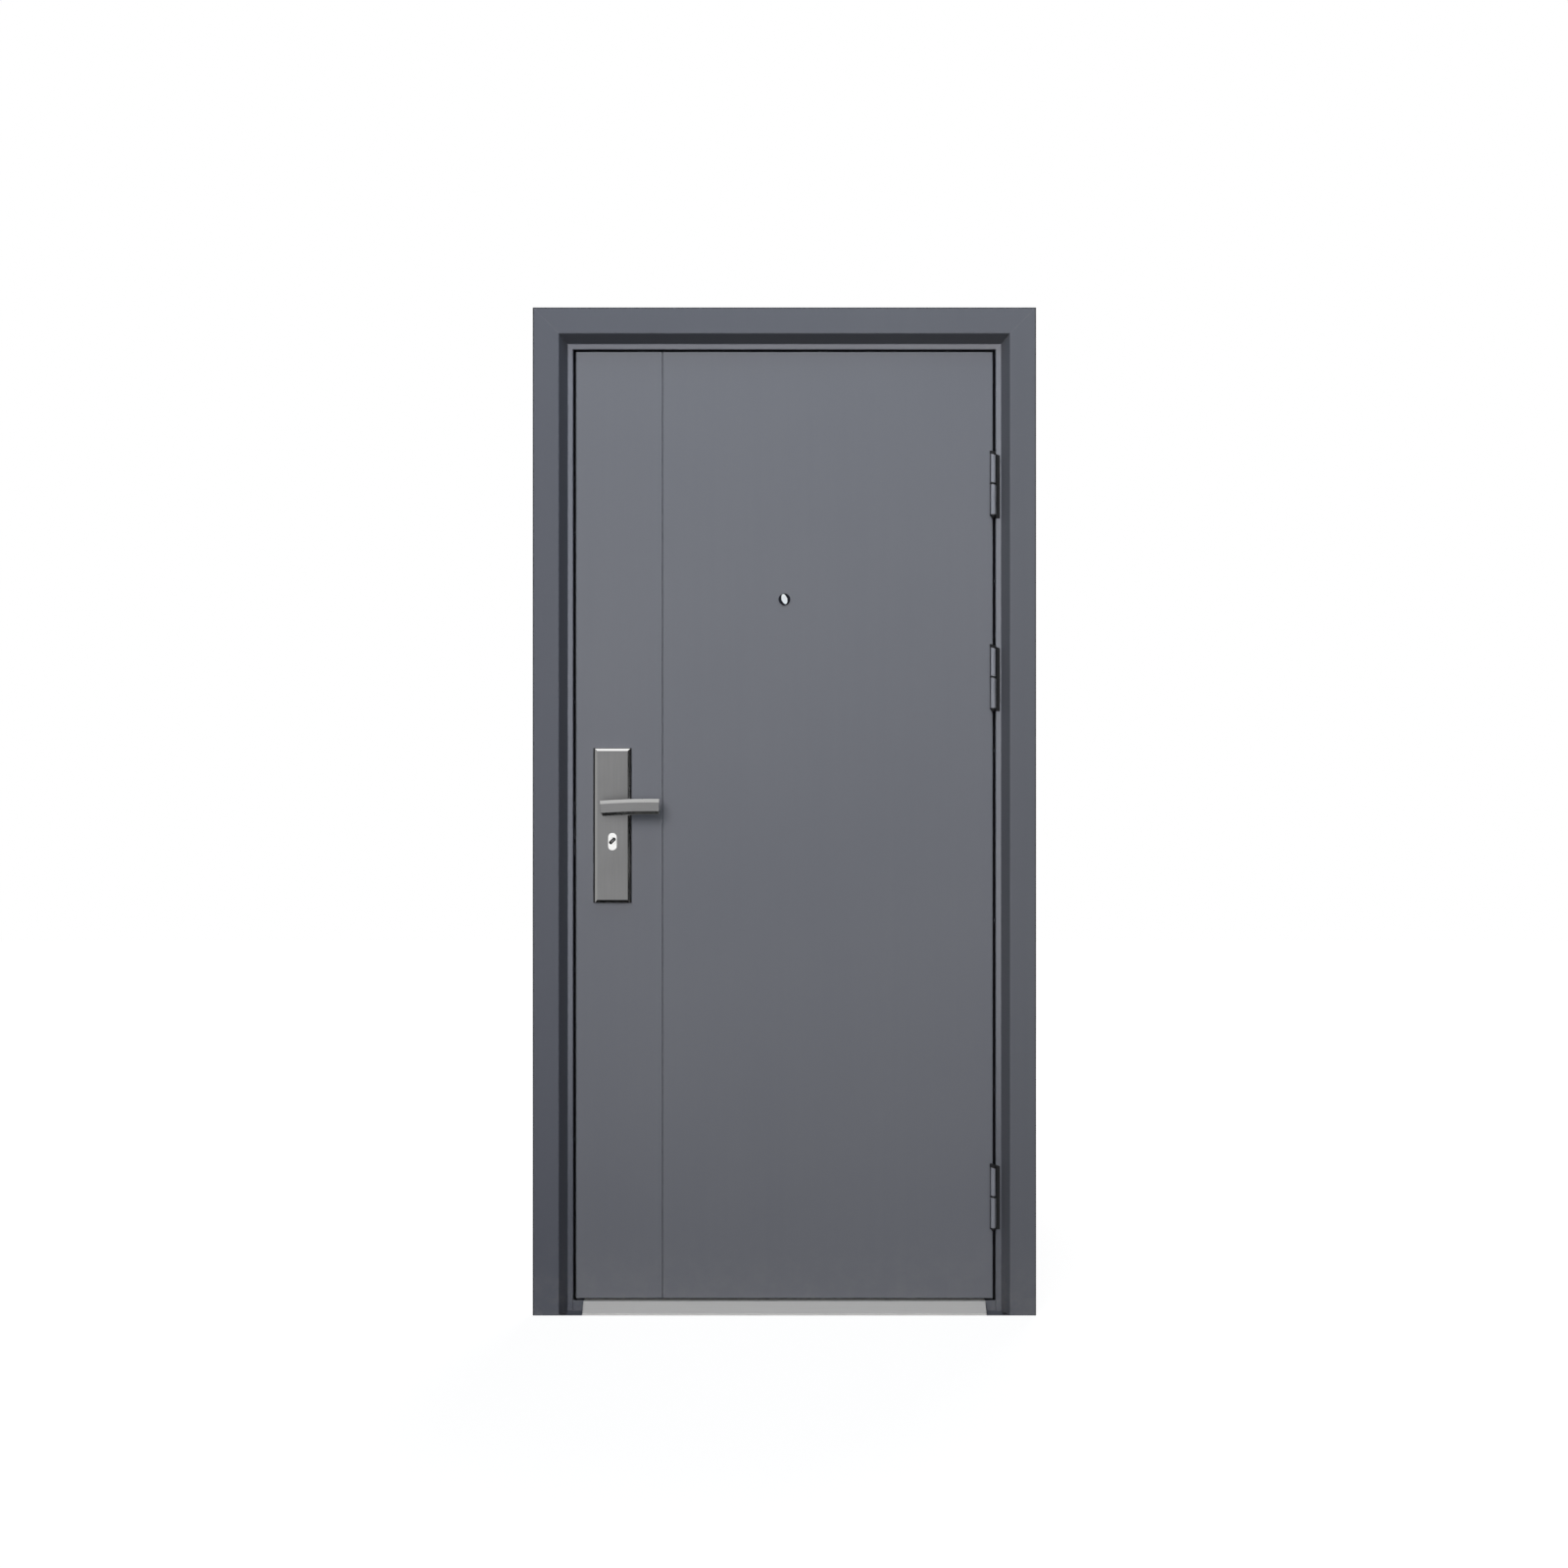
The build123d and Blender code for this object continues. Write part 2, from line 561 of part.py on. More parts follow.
# Levers: a bevelled bar swept along a slight bow, on a round neck
lever_back = plate_front - LEVER_HAND_SPACE
lever_centre = lever_back - LEVER_DEPTH / 2
lever_half_height = LEVER_FLAT / 2 + LEVER_BEVEL
tail_end = (handle_x - LEVER_TAIL, LEVER_HEIGHT - LEVER_RISE / 4)
tip_end = (handle_x + LEVER_REACH, LEVER_HEIGHT + LEVER_RISE * 3 / 4)
bow_top = (
    (tail_end[0] + tip_end[0]) / 2,
    (tail_end[1] + tip_end[1]) / 2 + LEVER_BOW,
)
front_x = -LEVER_DEPTH / 2
back_x = LEVER_DEPTH / 2
with BuildPart() as outside_lever:
    with BuildLine(Plane.XZ.offset(-lever_centre)) as bow:
        ThreePointArc(tail_end, bow_top, tip_end)
    with BuildSketch(Plane(origin=bow.line @ 0, x_dir=(0, 1, 0), z_dir=bow.line % 0)) as bar:
        with BuildLine():
            Polyline(
                (back_x, -lever_half_height),
                (back_x, lever_half_height),
                (front_x + LEVER_BEVEL_DEPTH, lever_half_height),
                (front_x, LEVER_FLAT / 2),
                (front_x, -LEVER_FLAT / 2),
                (front_x + LEVER_BEVEL_DEPTH, -lever_half_height),
                close=True,
            )
        make_face()
        chamfer(bar.vertices().group_by(Axis.X)[-1], LEVER_BACK_CHAMFER)
    sweep()
    tail_low = (tail_end[0], lever_centre, tail_end[1] - LEVER_FLAT / 2)
    split(
        bisect_by=Plane(origin=tail_low, z_dir=(-LEVER_BEVEL, 0, -LEVER_TAIL_CUT)), keep=Keep.BOTTOM
    )
    with BuildSketch(Plane.XZ.offset(-leaf_front + NECK_END_GAP)):
        with Locations((handle_x, LEVER_HEIGHT)):
            Circle(NECK_DIAMETER / 2)
    extrude(amount=leaf_front - NECK_END_GAP - lever_centre)
    with BuildSketch(Plane.XZ.offset(-leaf_front + NECK_END_GAP)):
        with Locations((handle_x, LEVER_HEIGHT)):
            Rectangle(SPINDLE_SIZE + 2 * SPINDLE_CLEARANCE, SPINDLE_SIZE + 2 * SPINDLE_CLEARANCE)
    extrude(amount=SPINDLE_ENTRY + SPINDLE_CLEARANCE, mode=Mode.SUBTRACT)
save(outside_lever, "outside_lever")

with BuildPart() as inside_lever:
    mirror(outside_lever.part, about=leaf_mid_plane)
save(inside_lever, "inside_lever")

with BuildPart() as spindle:
    with BuildSketch(leaf_mid_plane):
        with Locations((handle_x, LEVER_HEIGHT)):
            Rectangle(SPINDLE_SIZE, SPINDLE_SIZE)
    extrude(amount=LEAF_THICKNESS / 2 + NECK_END_GAP + SPINDLE_ENTRY, both=True)
save(spindle, "spindle")

# Door viewer, turned about an axis through the leaf
viewer_plane = Plane.XY.offset(VIEWER_HEIGHT)
viewer_axis = Axis((0, 0, VIEWER_HEIGHT), (0, 1, 0))
viewer_mouth = leaf_front - VIEWER_PROUD
flange_radius = VIEWER_FLANGE / 2
barrel_radius = VIEWER_BARREL / 2
bore_radius = barrel_radius - VIEWER_WALL
tube_radius = bore_radius - VIEWER_CLEARANCE
with BuildPart() as viewer_bezel:
    with BuildSketch(viewer_plane):
        with BuildLine():
            Polyline(
                (bore_radius, viewer_mouth),
                (flange_radius, viewer_mouth),
                (flange_radius, leaf_front),
                (barrel_radius, leaf_front),
                (barrel_radius, leaf_back - LEAF_SHEET),
                (bore_radius, leaf_back - LEAF_SHEET),
                close=True,
            )
        make_face()
    revolve(axis=viewer_axis)
save(viewer_bezel, "viewer_bezel")

# The lens is a slanted oval in front of the bezel, on a round stem
lens_plane = Plane.XZ.offset(-viewer_mouth)
with BuildPart() as viewer_lens:
    with BuildSketch(lens_plane):
        with Locations((0, VIEWER_HEIGHT)):
            Ellipse(LENS_WIDTH / 2, LENS_LENGTH / 2, rotation=LENS_TILT)
    extrude(amount=LENS_PROUD)
    with BuildSketch(lens_plane):
        with Locations((0, VIEWER_HEIGHT)):
            Circle(tube_radius)
    extrude(amount=-LENS_STEM)
save(viewer_lens, "viewer_lens")

with BuildPart() as viewer_eyepiece:
    with BuildSketch(viewer_plane):
        with BuildLine():
            Polyline(
                (EYEPIECE_BORE / 2, leaf_back + VIEWER_PROUD),
                (flange_radius, leaf_back + VIEWER_PROUD),
                (flange_radius, leaf_back),
                (EYEPIECE_BORE / 2, leaf_back),
                close=True,
            )
        make_face()
    revolve(axis=viewer_axis)
save(viewer_eyepiece, "viewer_eyepiece")

# Hinges: the upper half of each is on the leaf and lifts off the pin in the lower half.
# A black pad on the strip lies behind each barrel.
knuckle_radius = KNUCKLE_DIAMETER / 2
pin_radius = PIN_DIAMETER / 2
hinge_x = leaf_edge - HINGE_INSET
hinge_y = leaf_front - knuckle_radius - KNUCKLE_CLEARANCE
wing_thickness = (LEAF_GAP - WING_CLEARANCE) / 2
wing_end = leaf_front + WING_DEPTH
hinges = (
    ("top", leaf_top - TOP_HINGE_DROP),
    ("middle", leaf_top - MIDDLE_HINGE_DROP),
    ("bottom", leaf_bottom + BOTTOM_HINGE_RISE),
)
for place, joint_z in hinges:
    halves = (
        ("leaf", leaf_edge, joint_z + KNUCKLE_GAP / 2, PIN_RUN_CLEARANCE),
        ("frame", rebate - wing_thickness, joint_z - KNUCKLE_GAP / 2 - KNUCKLE_LENGTH, PIN_SEAT_CLEARANCE),
    )
    for owner, wing_x, base_z, clearance in halves:
        with BuildPart() as hinge_half:
            with BuildSketch(Plane.XY.offset(base_z)):
                with Locations((hinge_x, hinge_y)):
                    Circle(knuckle_radius)
            extrude(amount=KNUCKLE_LENGTH)
            with BuildSketch(Plane.YZ.offset(wing_x)) as wing:
                with Locations((hinge_y, base_z + WING_INSET)):
                    Rectangle(
                        wing_end - hinge_y,
                        KNUCKLE_LENGTH - 2 * WING_INSET,
                        align=(Align.MIN, Align.MIN),
                    )
                chamfer(wing.vertices().group_by(Axis.X)[-1], WING_CORNER)
            extrude(amount=wing_thickness)
            with BuildSketch(Plane.XY.offset(joint_z)):
                with Locations((hinge_x, hinge_y)):
                    Circle(pin_radius + clearance)
            extrude(amount=PIN_DEPTH + KNUCKLE_GAP, both=True, mode=Mode.SUBTRACT)
        save(hinge_half, f"{place}_hinge_{owner}_half")
    with BuildPart() as hinge_pin:
        with BuildSketch(Plane.XY.offset(joint_z)):
            with Locations((hinge_x, hinge_y)):
                Circle(pin_radius)
        extrude(amount=PIN_DEPTH + KNUCKLE_GAP / 2, both=True)
    save(hinge_pin, f"{place}_hinge_pin")
    with BuildPart() as hinge_pad:
        with BuildSketch(outside_face):
            with BuildLine():
                Polyline(
                    (rebate, joint_z - PAD_BELOW_JOINT),
                    (rebate + PAD_WIDTH, joint_z - PAD_BELOW_JOINT),
                    (rebate + PAD_WIDTH, joint_z + PAD_ABOVE_JOINT - PAD_SLANT),
                    (rebate, joint_z + PAD_ABOVE_JOINT),
                    close=True,
                )
            make_face()
        extrude(amount=PAD_THICKNESS)
    save(hinge_pad, f"{place}_hinge_pad")
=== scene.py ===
# %% [markdown]
# A steel security door: a folded steel frame, a flat hollow leaf with one upright groove, a long
# handle plate with a lever and a key cylinder, three hinges and a small door viewer.
# The shapes come from CAD. Here they get their finishes, their softened edges and their small
# fasteners, and a camera and light like those of a product photograph.

# %% Load the door
import bpy
import bmesh
import json
import math
from mathutils import Matrix, Vector

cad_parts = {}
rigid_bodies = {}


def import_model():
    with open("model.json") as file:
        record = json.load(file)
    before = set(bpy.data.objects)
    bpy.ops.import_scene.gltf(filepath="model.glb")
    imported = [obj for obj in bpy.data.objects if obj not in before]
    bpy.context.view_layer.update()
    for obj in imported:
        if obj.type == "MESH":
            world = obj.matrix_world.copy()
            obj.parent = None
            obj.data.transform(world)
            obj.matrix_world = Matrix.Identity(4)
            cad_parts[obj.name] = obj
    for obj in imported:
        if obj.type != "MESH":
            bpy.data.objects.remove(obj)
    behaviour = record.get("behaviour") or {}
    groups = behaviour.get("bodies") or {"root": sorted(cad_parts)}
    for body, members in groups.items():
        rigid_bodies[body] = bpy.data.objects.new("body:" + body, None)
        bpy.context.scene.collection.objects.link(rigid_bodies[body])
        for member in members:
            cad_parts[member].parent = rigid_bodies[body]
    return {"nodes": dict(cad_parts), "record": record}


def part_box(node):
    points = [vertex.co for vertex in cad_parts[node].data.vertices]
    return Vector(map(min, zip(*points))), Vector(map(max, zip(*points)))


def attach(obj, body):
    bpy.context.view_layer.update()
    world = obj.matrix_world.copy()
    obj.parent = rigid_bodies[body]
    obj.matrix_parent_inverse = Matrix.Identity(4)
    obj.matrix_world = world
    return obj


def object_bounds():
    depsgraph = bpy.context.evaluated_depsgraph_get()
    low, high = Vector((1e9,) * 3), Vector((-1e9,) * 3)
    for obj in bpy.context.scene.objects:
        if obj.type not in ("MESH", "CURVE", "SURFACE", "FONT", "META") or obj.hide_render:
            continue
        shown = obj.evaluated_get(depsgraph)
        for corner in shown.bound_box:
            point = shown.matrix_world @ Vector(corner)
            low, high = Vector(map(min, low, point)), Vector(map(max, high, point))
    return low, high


for leftover in list(bpy.data.objects):
    bpy.data.objects.remove(leftover)
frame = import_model()
cad_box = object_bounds()
nodes = frame["nodes"]
print("nodes:", len(nodes), "box:", [round(v, 3) for corner in cad_box for v in corner])

# %% [markdown]
# The photograph looks straight at the door, with upright edges upright and level edges level.
# That means a level camera pointing along +Y. A picture like this could also be taken with an
# orthographic camera, but the bevels of the frame look different at the head and at the sill,
# so a perspective camera a few metres away is used, as high as the middle of the picture.

# %% Camera
PICTURE_PIXELS = 1600
METRES_PER_PIXEL = 0.0019922  # at the front face of the frame
DOOR_MIDDLE_PIXEL = 800.4
CAMERA_DISTANCE = 3.8
CAMERA_HEIGHT = 1.0806
SENSOR = 36.0

frame_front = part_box("lock_jamb")[0].y
camera_data = bpy.data.cameras.new("Camera")
camera_data.sensor_width = SENSOR
camera_data.lens = SENSOR * CAMERA_DISTANCE / (PICTURE_PIXELS * METRES_PER_PIXEL)
camera = bpy.data.objects.new("Camera", camera_data)
camera.location = (
    (PICTURE_PIXELS / 2 - DOOR_MIDDLE_PIXEL) * METRES_PER_PIXEL,
    frame_front - CAMERA_DISTANCE,
    CAMERA_HEIGHT,
)
camera.rotation_euler = (math.radians(90), 0, 0)
bpy.context.scene.collection.objects.link(camera)
bpy.context.scene.camera = camera
bpy.context.scene.view_settings.view_transform = "Standard"
print("camera lens:", round(camera_data.lens, 2), "mm")

# %% [markdown]
# Shader nodes are easiest to read when they are made by a few small helpers: one adds a node and
# sets its sockets, one joins two sockets, and one starts a node group with named sockets.

# %% Node helpers


def add_node(tree, kind, **values):
    """A new node. A name that starts with in_ sets a socket, and the others set properties."""
    node = tree.nodes.new(kind)
    for key, value in values.items():
        if key.startswith("in_"):
            node.inputs[key[3:].replace("_", " ")].default_value = value
        else:
            setattr(node, key, value)
    return node


def join(tree, source, target):
    tree.links.new(source, target)


def math_node(tree, operation, first, second, clamp=False):
    """A Math node. Each operand is a socket or a number."""
    node = add_node(tree, "ShaderNodeMath", operation=operation, use_clamp=clamp)
    for socket, operand in zip(node.inputs, (first, second)):
        if isinstance(operand, (int, float)):
            socket.default_value = operand
        else:
            join(tree, operand, socket)
    return node.outputs[0]


def map_range(tree, value, low, high, new_low, new_high):
    """A smooth change of a value from one range to another."""
    node = add_node(tree, "ShaderNodeMapRange", interpolation_type="SMOOTHSTEP")
    join(tree, value, node.inputs["Value"])
    for name, number in zip(("From Min", "From Max", "To Min", "To Max"), (low, high, new_low, new_high)):
        node.inputs[name].default_value = number
    return node.outputs[0]


def mix_colour(tree, factor, first, second):
    """A colour mix. Each colour is a socket or an RGB triple."""
    node = add_node(tree, "ShaderNodeMix", data_type="RGBA")
    if isinstance(factor, (int, float)):
        node.inputs[0].default_value = factor
    else:
        join(tree, factor, node.inputs[0])
    for socket, colour in ((node.inputs[6], first), (node.inputs[7], second)):
        if isinstance(colour, tuple):
            socket.default_value = (*colour, 1)
        else:
            join(tree, colour, socket)
    return node.outputs[2]


def start_group(name, inputs, outputs):
    """A shader node group with named value inputs and outputs."""
    group = bpy.data.node_groups.new(name, "ShaderNodeTree")
    for label, default in inputs.items():
        kind = "NodeSocketVector" if isinstance(default, tuple) else "NodeSocketFloat"
        socket = group.interface.new_socket(label, in_out="INPUT", socket_type=kind)
        socket.default_value = default
    for label in outputs:
        group.interface.new_socket(label, in_out="OUTPUT", socket_type="NodeSocketFloat")
    return group, group.nodes.new("NodeGroupInput"), group.nodes.new("NodeGroupOutput")


print("node helpers ready")

# %% [markdown]
# The studio is a pale floor that runs off into a white background. White paper lit until it is
# white would throw far too much light on the door. Instead the world and the floor are white only
# for rays that come from the camera, a reflection or a glass, and dimmer for the light that
# they scatter. The floor still takes the shadow of the door.

# %% World and floor
AMBIENT = 0.07
FLOOR_TONE = 0.18
NEAR_GLOW = 0.90
FAR_GLOW = 1.0
GLOW_REACH = (0.7, 2.4)  # where the floor goes from near to far
FLOOR_HALF = 9.0
FLOOR_LEVEL = -0.0005


def seen_directly(tree):
    """1 for camera, glossy and transmission rays, and 0 for the rest."""
    path = add_node(tree, "ShaderNodeLightPath")
    glossy = math_node(tree, "ADD", path.outputs["Is Glossy Ray"], path.outputs["Is Transmission Ray"])
    return math_node(tree, "ADD", path.outputs["Is Camera Ray"], glossy, clamp=True)


world = bpy.data.worlds.new("Studio")
bpy.context.scene.world = world
world.use_nodes = True
sky = world.node_tree
background = sky.nodes["Background"]
background.inputs["Color"].default_value = (1, 1, 1, 1)
join(sky, map_range(sky, seen_directly(sky), 0, 1, AMBIENT, 1.0), background.inputs["Strength"])

floor_mesh = bpy.data.meshes.new("Floor")
corners = [(-1, -1), (1, -1), (1, 1), (-1, 1)]
floor_spots = [(x * FLOOR_HALF, y * FLOOR_HALF, FLOOR_LEVEL) for x, y in corners]
floor_mesh.from_pydata(floor_spots, [], [(0, 1, 2, 3)])
floor = bpy.data.objects.new("Floor", floor_mesh)
bpy.context.scene.collection.objects.link(floor)

paper = bpy.data.materials.new("Studio paper")
paper.use_nodes = True
tree = paper.node_tree
shader = tree.nodes["Principled BSDF"]
shader.inputs["Roughness"].default_value = 1.0
shader.inputs["Specular IOR Level"].default_value = 0.0
shader.inputs["Base Color"].default_value = (FLOOR_TONE, FLOOR_TONE, FLOOR_TONE, 1)
shader.inputs["Emission Color"].default_value = (1, 1, 1, 1)
away = add_node(tree, "ShaderNodeVectorMath", operation="LENGTH")
join(tree, add_node(tree, "ShaderNodeTexCoord").outputs["Object"], away.inputs[0])
glow = map_range(tree, away.outputs["Value"], *GLOW_REACH, NEAR_GLOW, FAR_GLOW)
join(tree, math_node(tree, "MULTIPLY", glow, seen_directly(tree)), shader.inputs["Emission Strength"])
floor_mesh.materials.append(paper)
print("floor and world ready")

# %% [markdown]
# In the photograph the front faces are the brightest, the bevels of the frame are darker, and the
# one under the head is darkest. So the main light is large, far in front, above and a little to
# the left. It is aimed at the top of the door through a grid that narrows its beam, because the door
# gets darker towards the floor. A second one, lower down, thins the shadow under the lever. Area
# lamps are used, because a large lamp makes a soft shadow. A bluish strip above cools the top of the
# door, and a fill behind it shows its back in other views.

# %% Lamps
LAMPS = (
    # name, place, aimed at, size, beam in degrees, power, colour
    ("High softbox", (-1.3, -6.0, 3.7), (-0.05, 0.0, 1.95), 3.6, 76.0, 61.0, (1.0, 1.0, 1.0)),
    ("Level softbox", (-0.8, -6.4, 1.7), (0.0, 0.0, 1.55), 4.2, 80.0, 46.0, (1.0, 1.0, 1.0)),
    ("Top strip", (0.0, -1.3, 3.9), (0.0, 0.0, 1.6), 1.4, 180.0, 26.0, (0.66, 0.84, 1.0)),
    ("Back fill", (1.4, 4.5, 2.6), (0.0, 0.0, 1.1), 3.0, 120.0, 75.0, (1.0, 1.0, 1.0)),
)
for name, place, target, size, beam, power, colour in LAMPS:
    lamp = bpy.data.lights.new(name, "AREA")
    lamp.size = size
    lamp.energy = power
    lamp.color = colour
    lamp.spread = math.radians(beam)
    lamp_object = bpy.data.objects.new(name, lamp)
    lamp_object.location = place
    aim = Vector(target) - Vector(place)
    lamp_object.rotation_euler = aim.to_track_quat("-Z", "Y").to_euler()
    lamp_object.visible_glossy = False
    bpy.context.scene.collection.objects.link(lamp_object)
    print("lamp:", name, power, "W")

# %% [markdown]
# Polished edges look black, grey or white by what stands round them. A photographer hangs cards
# beside and below a polished piece to draw its edges. These cards do the same: only reflections
# see them, so they take no light from the door and throw no shadow.

# %% Cards
CARDS = (
    # name, middle, width and height, which way it faces, glow
    ("Right black card", (1.35, -0.80, 1.1), (1.5, 1.3), (-1, 0, 0), 0.0),
    ("Low black card", (-0.33, -0.60, 0.004), (1.0, 0.8), (0, 0, 1), 0.0),
    ("Left grey card", (-1.35, -0.80, 1.1), (1.5, 1.3), (1, 0, 0), 0.32),
)
for name, middle, (width, height), facing, glow in CARDS:
    mesh = bpy.data.meshes.new(name)
    mesh.from_pydata([(x * width / 2, y * height / 2, 0) for x, y in corners], [], [(0, 1, 2, 3)])
    card_face = bpy.data.materials.new(name)
    card_face.use_nodes = True
    shader = card_face.node_tree.nodes["Principled BSDF"]
    shader.inputs["Base Color"].default_value = (0.01, 0.01, 0.01, 1)
    shader.inputs["Specular IOR Level"].default_value = 0.0
    shader.inputs["Emission Color"].default_value = (1, 1, 1, 1)
    shader.inputs["Emission Strength"].default_value = glow
    mesh.materials.append(card_face)
    card = bpy.data.objects.new(name, mesh)
    card.location = middle
    card.rotation_euler = Vector(facing).to_track_quat("Z", "Y").to_euler()
    card.visible_camera = False
    card.visible_diffuse = False
    card.visible_shadow = False
    card.visible_transmission = False
    bpy.context.scene.collection.objects.link(card)
    print("card:", name)

# %% [markdown]
# Powder coat is sprayed as dry powder and melted in an oven. Close up it has a fine orange-peel
# skin, and over a whole door its tone drifts a little, with faint upright streaks where the rollers
# flattened the sheet. One group gives both: a height for the skin and a tone for the drift.

# %% Group: powder coat skin
STREAK_SHARE = 0.22
group, given, result = start_group(
    "Powder coat skin", {"Grain Scale": 700.0, "Drift Scale": 1.6, "Streak Scale": 45.0}, ("Height", "Tone")
)
place = add_node(group, "ShaderNodeTexCoord").outputs["Object"]
grain = add_node(group, "ShaderNodeTexNoise", in_Detail=2.0, in_Roughness=0.45)
join(group, place, grain.inputs["Vector"])
join(group, given.outputs["Grain Scale"], grain.inputs["Scale"])
drift = add_node(group, "ShaderNodeTexNoise", in_Detail=3.0, in_Roughness=0.5)
join(group, place, drift.inputs["Vector"])
join(group, given.outputs["Drift Scale"], drift.inputs["Scale"])
upright = add_node(group, "ShaderNodeVectorMath", operation="MULTIPLY")
upright.inputs[1].default_value = (1.0, 1.0, 0.025)
join(group, place, upright.inputs[0])
streaks = add_node(group, "ShaderNodeTexNoise", in_Detail=3.0, in_Roughness=0.6)
join(group, upright.outputs[0], streaks.inputs["Vector"])
join(group, given.outputs["Streak Scale"], streaks.inputs["Scale"])
cloudy = math_node(group, "MULTIPLY", drift.outputs[0], 1.0 - STREAK_SHARE)
streaky = math_node(group, "MULTIPLY", streaks.outputs[0], STREAK_SHARE)
join(group, math_node(group, "ADD", cloudy, streaky), result.inputs["Tone"])
join(group, grain.outputs[0], result.inputs["Height"])
coat_skin = group
print("group:", coat_skin.name)

# %% [markdown]
# Hands, tools and cleaning rub the corners of a door first, and corners also catch thin lines of light. This
# mask lightens them, so it is partly wear and partly a painted highlight. The Bevel node rounds the normal
# near an edge, so where it leaves the true normal there is a corner. A noise breaks the line up, because
# wear is never even.

# %% Group: rubbed edges, with painted highlight
group, given, result = start_group("Rubbed and lit edges", {"Radius": 0.002, "Break Scale": 60.0}, ("Mask",))
rounded = add_node(group, "ShaderNodeBevel", samples=4)
join(group, given.outputs["Radius"], rounded.inputs["Radius"])
true_normal = add_node(group, "ShaderNodeNewGeometry").outputs["True Normal"]
turn = add_node(group, "ShaderNodeVectorMath", operation="DOT_PRODUCT")
join(group, rounded.outputs[0], turn.inputs[0])
join(group, true_normal, turn.inputs[1])
corner = map_range(group, turn.outputs["Value"], 0.80, 0.99, 1.0, 0.0)
breaks = add_node(group, "ShaderNodeTexNoise", in_Detail=4.0, in_Roughness=0.6)
join(group, add_node(group, "ShaderNodeTexCoord").outputs["Object"], breaks.inputs["Vector"])
join(group, given.outputs["Break Scale"], breaks.inputs["Scale"])
uneven = map_range(group, breaks.outputs[0], 0.35, 0.65, 0.3, 1.0)
join(group, math_node(group, "MULTIPLY", corner, uneven), result.inputs["Mask"])
rubbed_and_lit_edges = group
print("group:", rubbed_and_lit_edges.name)

# %% [markdown]
# Brushed and rolled steel has fine parallel lines. A noise stretched along one direction gives them:
# the group takes how often it changes along X, Y and Z, so each piece can be brushed its own way.

# %% Group: brushed lines
group, given, result = start_group("Brushed lines", {"Frequency": (20.0, 900.0, 900.0)}, ("Line", "Cloud"))
place = add_node(group, "ShaderNodeTexCoord").outputs["Object"]
stretch = add_node(group, "ShaderNodeVectorMath", operation="MULTIPLY")
join(group, place, stretch.inputs[0])
join(group, given.outputs["Frequency"], stretch.inputs[1])
lines = add_node(group, "ShaderNodeTexNoise", in_Scale=1.0, in_Detail=3.0, in_Roughness=0.6)
join(group, stretch.outputs[0], lines.inputs["Vector"])
cloud = add_node(group, "ShaderNodeTexNoise", in_Scale=9.0, in_Detail=3.0)
join(group, place, cloud.inputs["Vector"])
join(group, lines.outputs[0], result.inputs["Line"])
join(group, cloud.outputs[0], result.inputs["Cloud"])
brushed_lines = group
print("group:", brushed_lines.name)

# %% [markdown]
# A door collects a little dust where feet and the floor cloth reach, in the lowest hand's breadth.
# The mask fades with height and is broken up by noise.

# %% Group: floor dust
group, given, result = start_group("Floor dust", {"Reach": 0.22}, ("Mask",))
place = add_node(group, "ShaderNodeTexCoord").outputs["Object"]
height = add_node(group, "ShaderNodeSeparateXYZ")
join(group, place, height.inputs[0])
reached = math_node(group, "DIVIDE", height.outputs["Z"], given.outputs["Reach"])
fade = math_node(group, "SUBTRACT", 1.0, reached, clamp=True)
spots = add_node(group, "ShaderNodeTexNoise", in_Scale=35.0, in_Detail=5.0, in_Roughness=0.65)
join(group, place, spots.inputs["Vector"])
patchy = map_range(group, spots.outputs[0], 0.35, 0.75, 0.1, 1.0)
low_down = math_node(group, "MULTIPLY", fade, fade)
join(group, math_node(group, "MULTIPLY", low_down, patchy), result.inputs["Mask"])
floor_dust = group
print("group:", floor_dust.name)

# %% [markdown]
# Every finish starts from the same few lines: a material, its main shader and a way to place a group
# in it. A number that is the same all over goes on the shader's own socket.

# %% Material helpers


def start_material(name, **sockets):
    """A material with its main shader's plain sockets set."""
    material = bpy.data.materials.new(name)
    material.use_nodes = True
    shader = material.node_tree.nodes["Principled BSDF"]
    for key, value in sockets.items():
        shader.inputs[key.replace("_", " ")].default_value = value
    return material, material.node_tree, shader


def place_group(tree, group, **values):
    node = add_node(tree, "ShaderNodeGroup", node_tree=group)
    for key, value in values.items():
        node.inputs[key.replace("_", " ")].default_value = value
    return node.outputs


def bump(tree, shader, height, strength, distance):
    """Small relief from a height."""
    node = add_node(tree, "ShaderNodeBump", in_Strength=strength, in_Distance=distance)
    join(tree, height, node.inputs["Height"])
    join(tree, node.outputs[0], shader.inputs["Normal"])


def tone_pair(colour, spread):
    """A darker and a lighter version of a colour. The spread is a number, or one for each channel."""
    spreads = spread if isinstance(spread, tuple) else (spread, spread, spread)
    darker = tuple(c * (1 - s) for c, s in zip(colour, spreads))
    lighter = tuple(c * (1 + s) for c, s in zip(colour, spreads))
    return darker, lighter


print("material helpers ready")
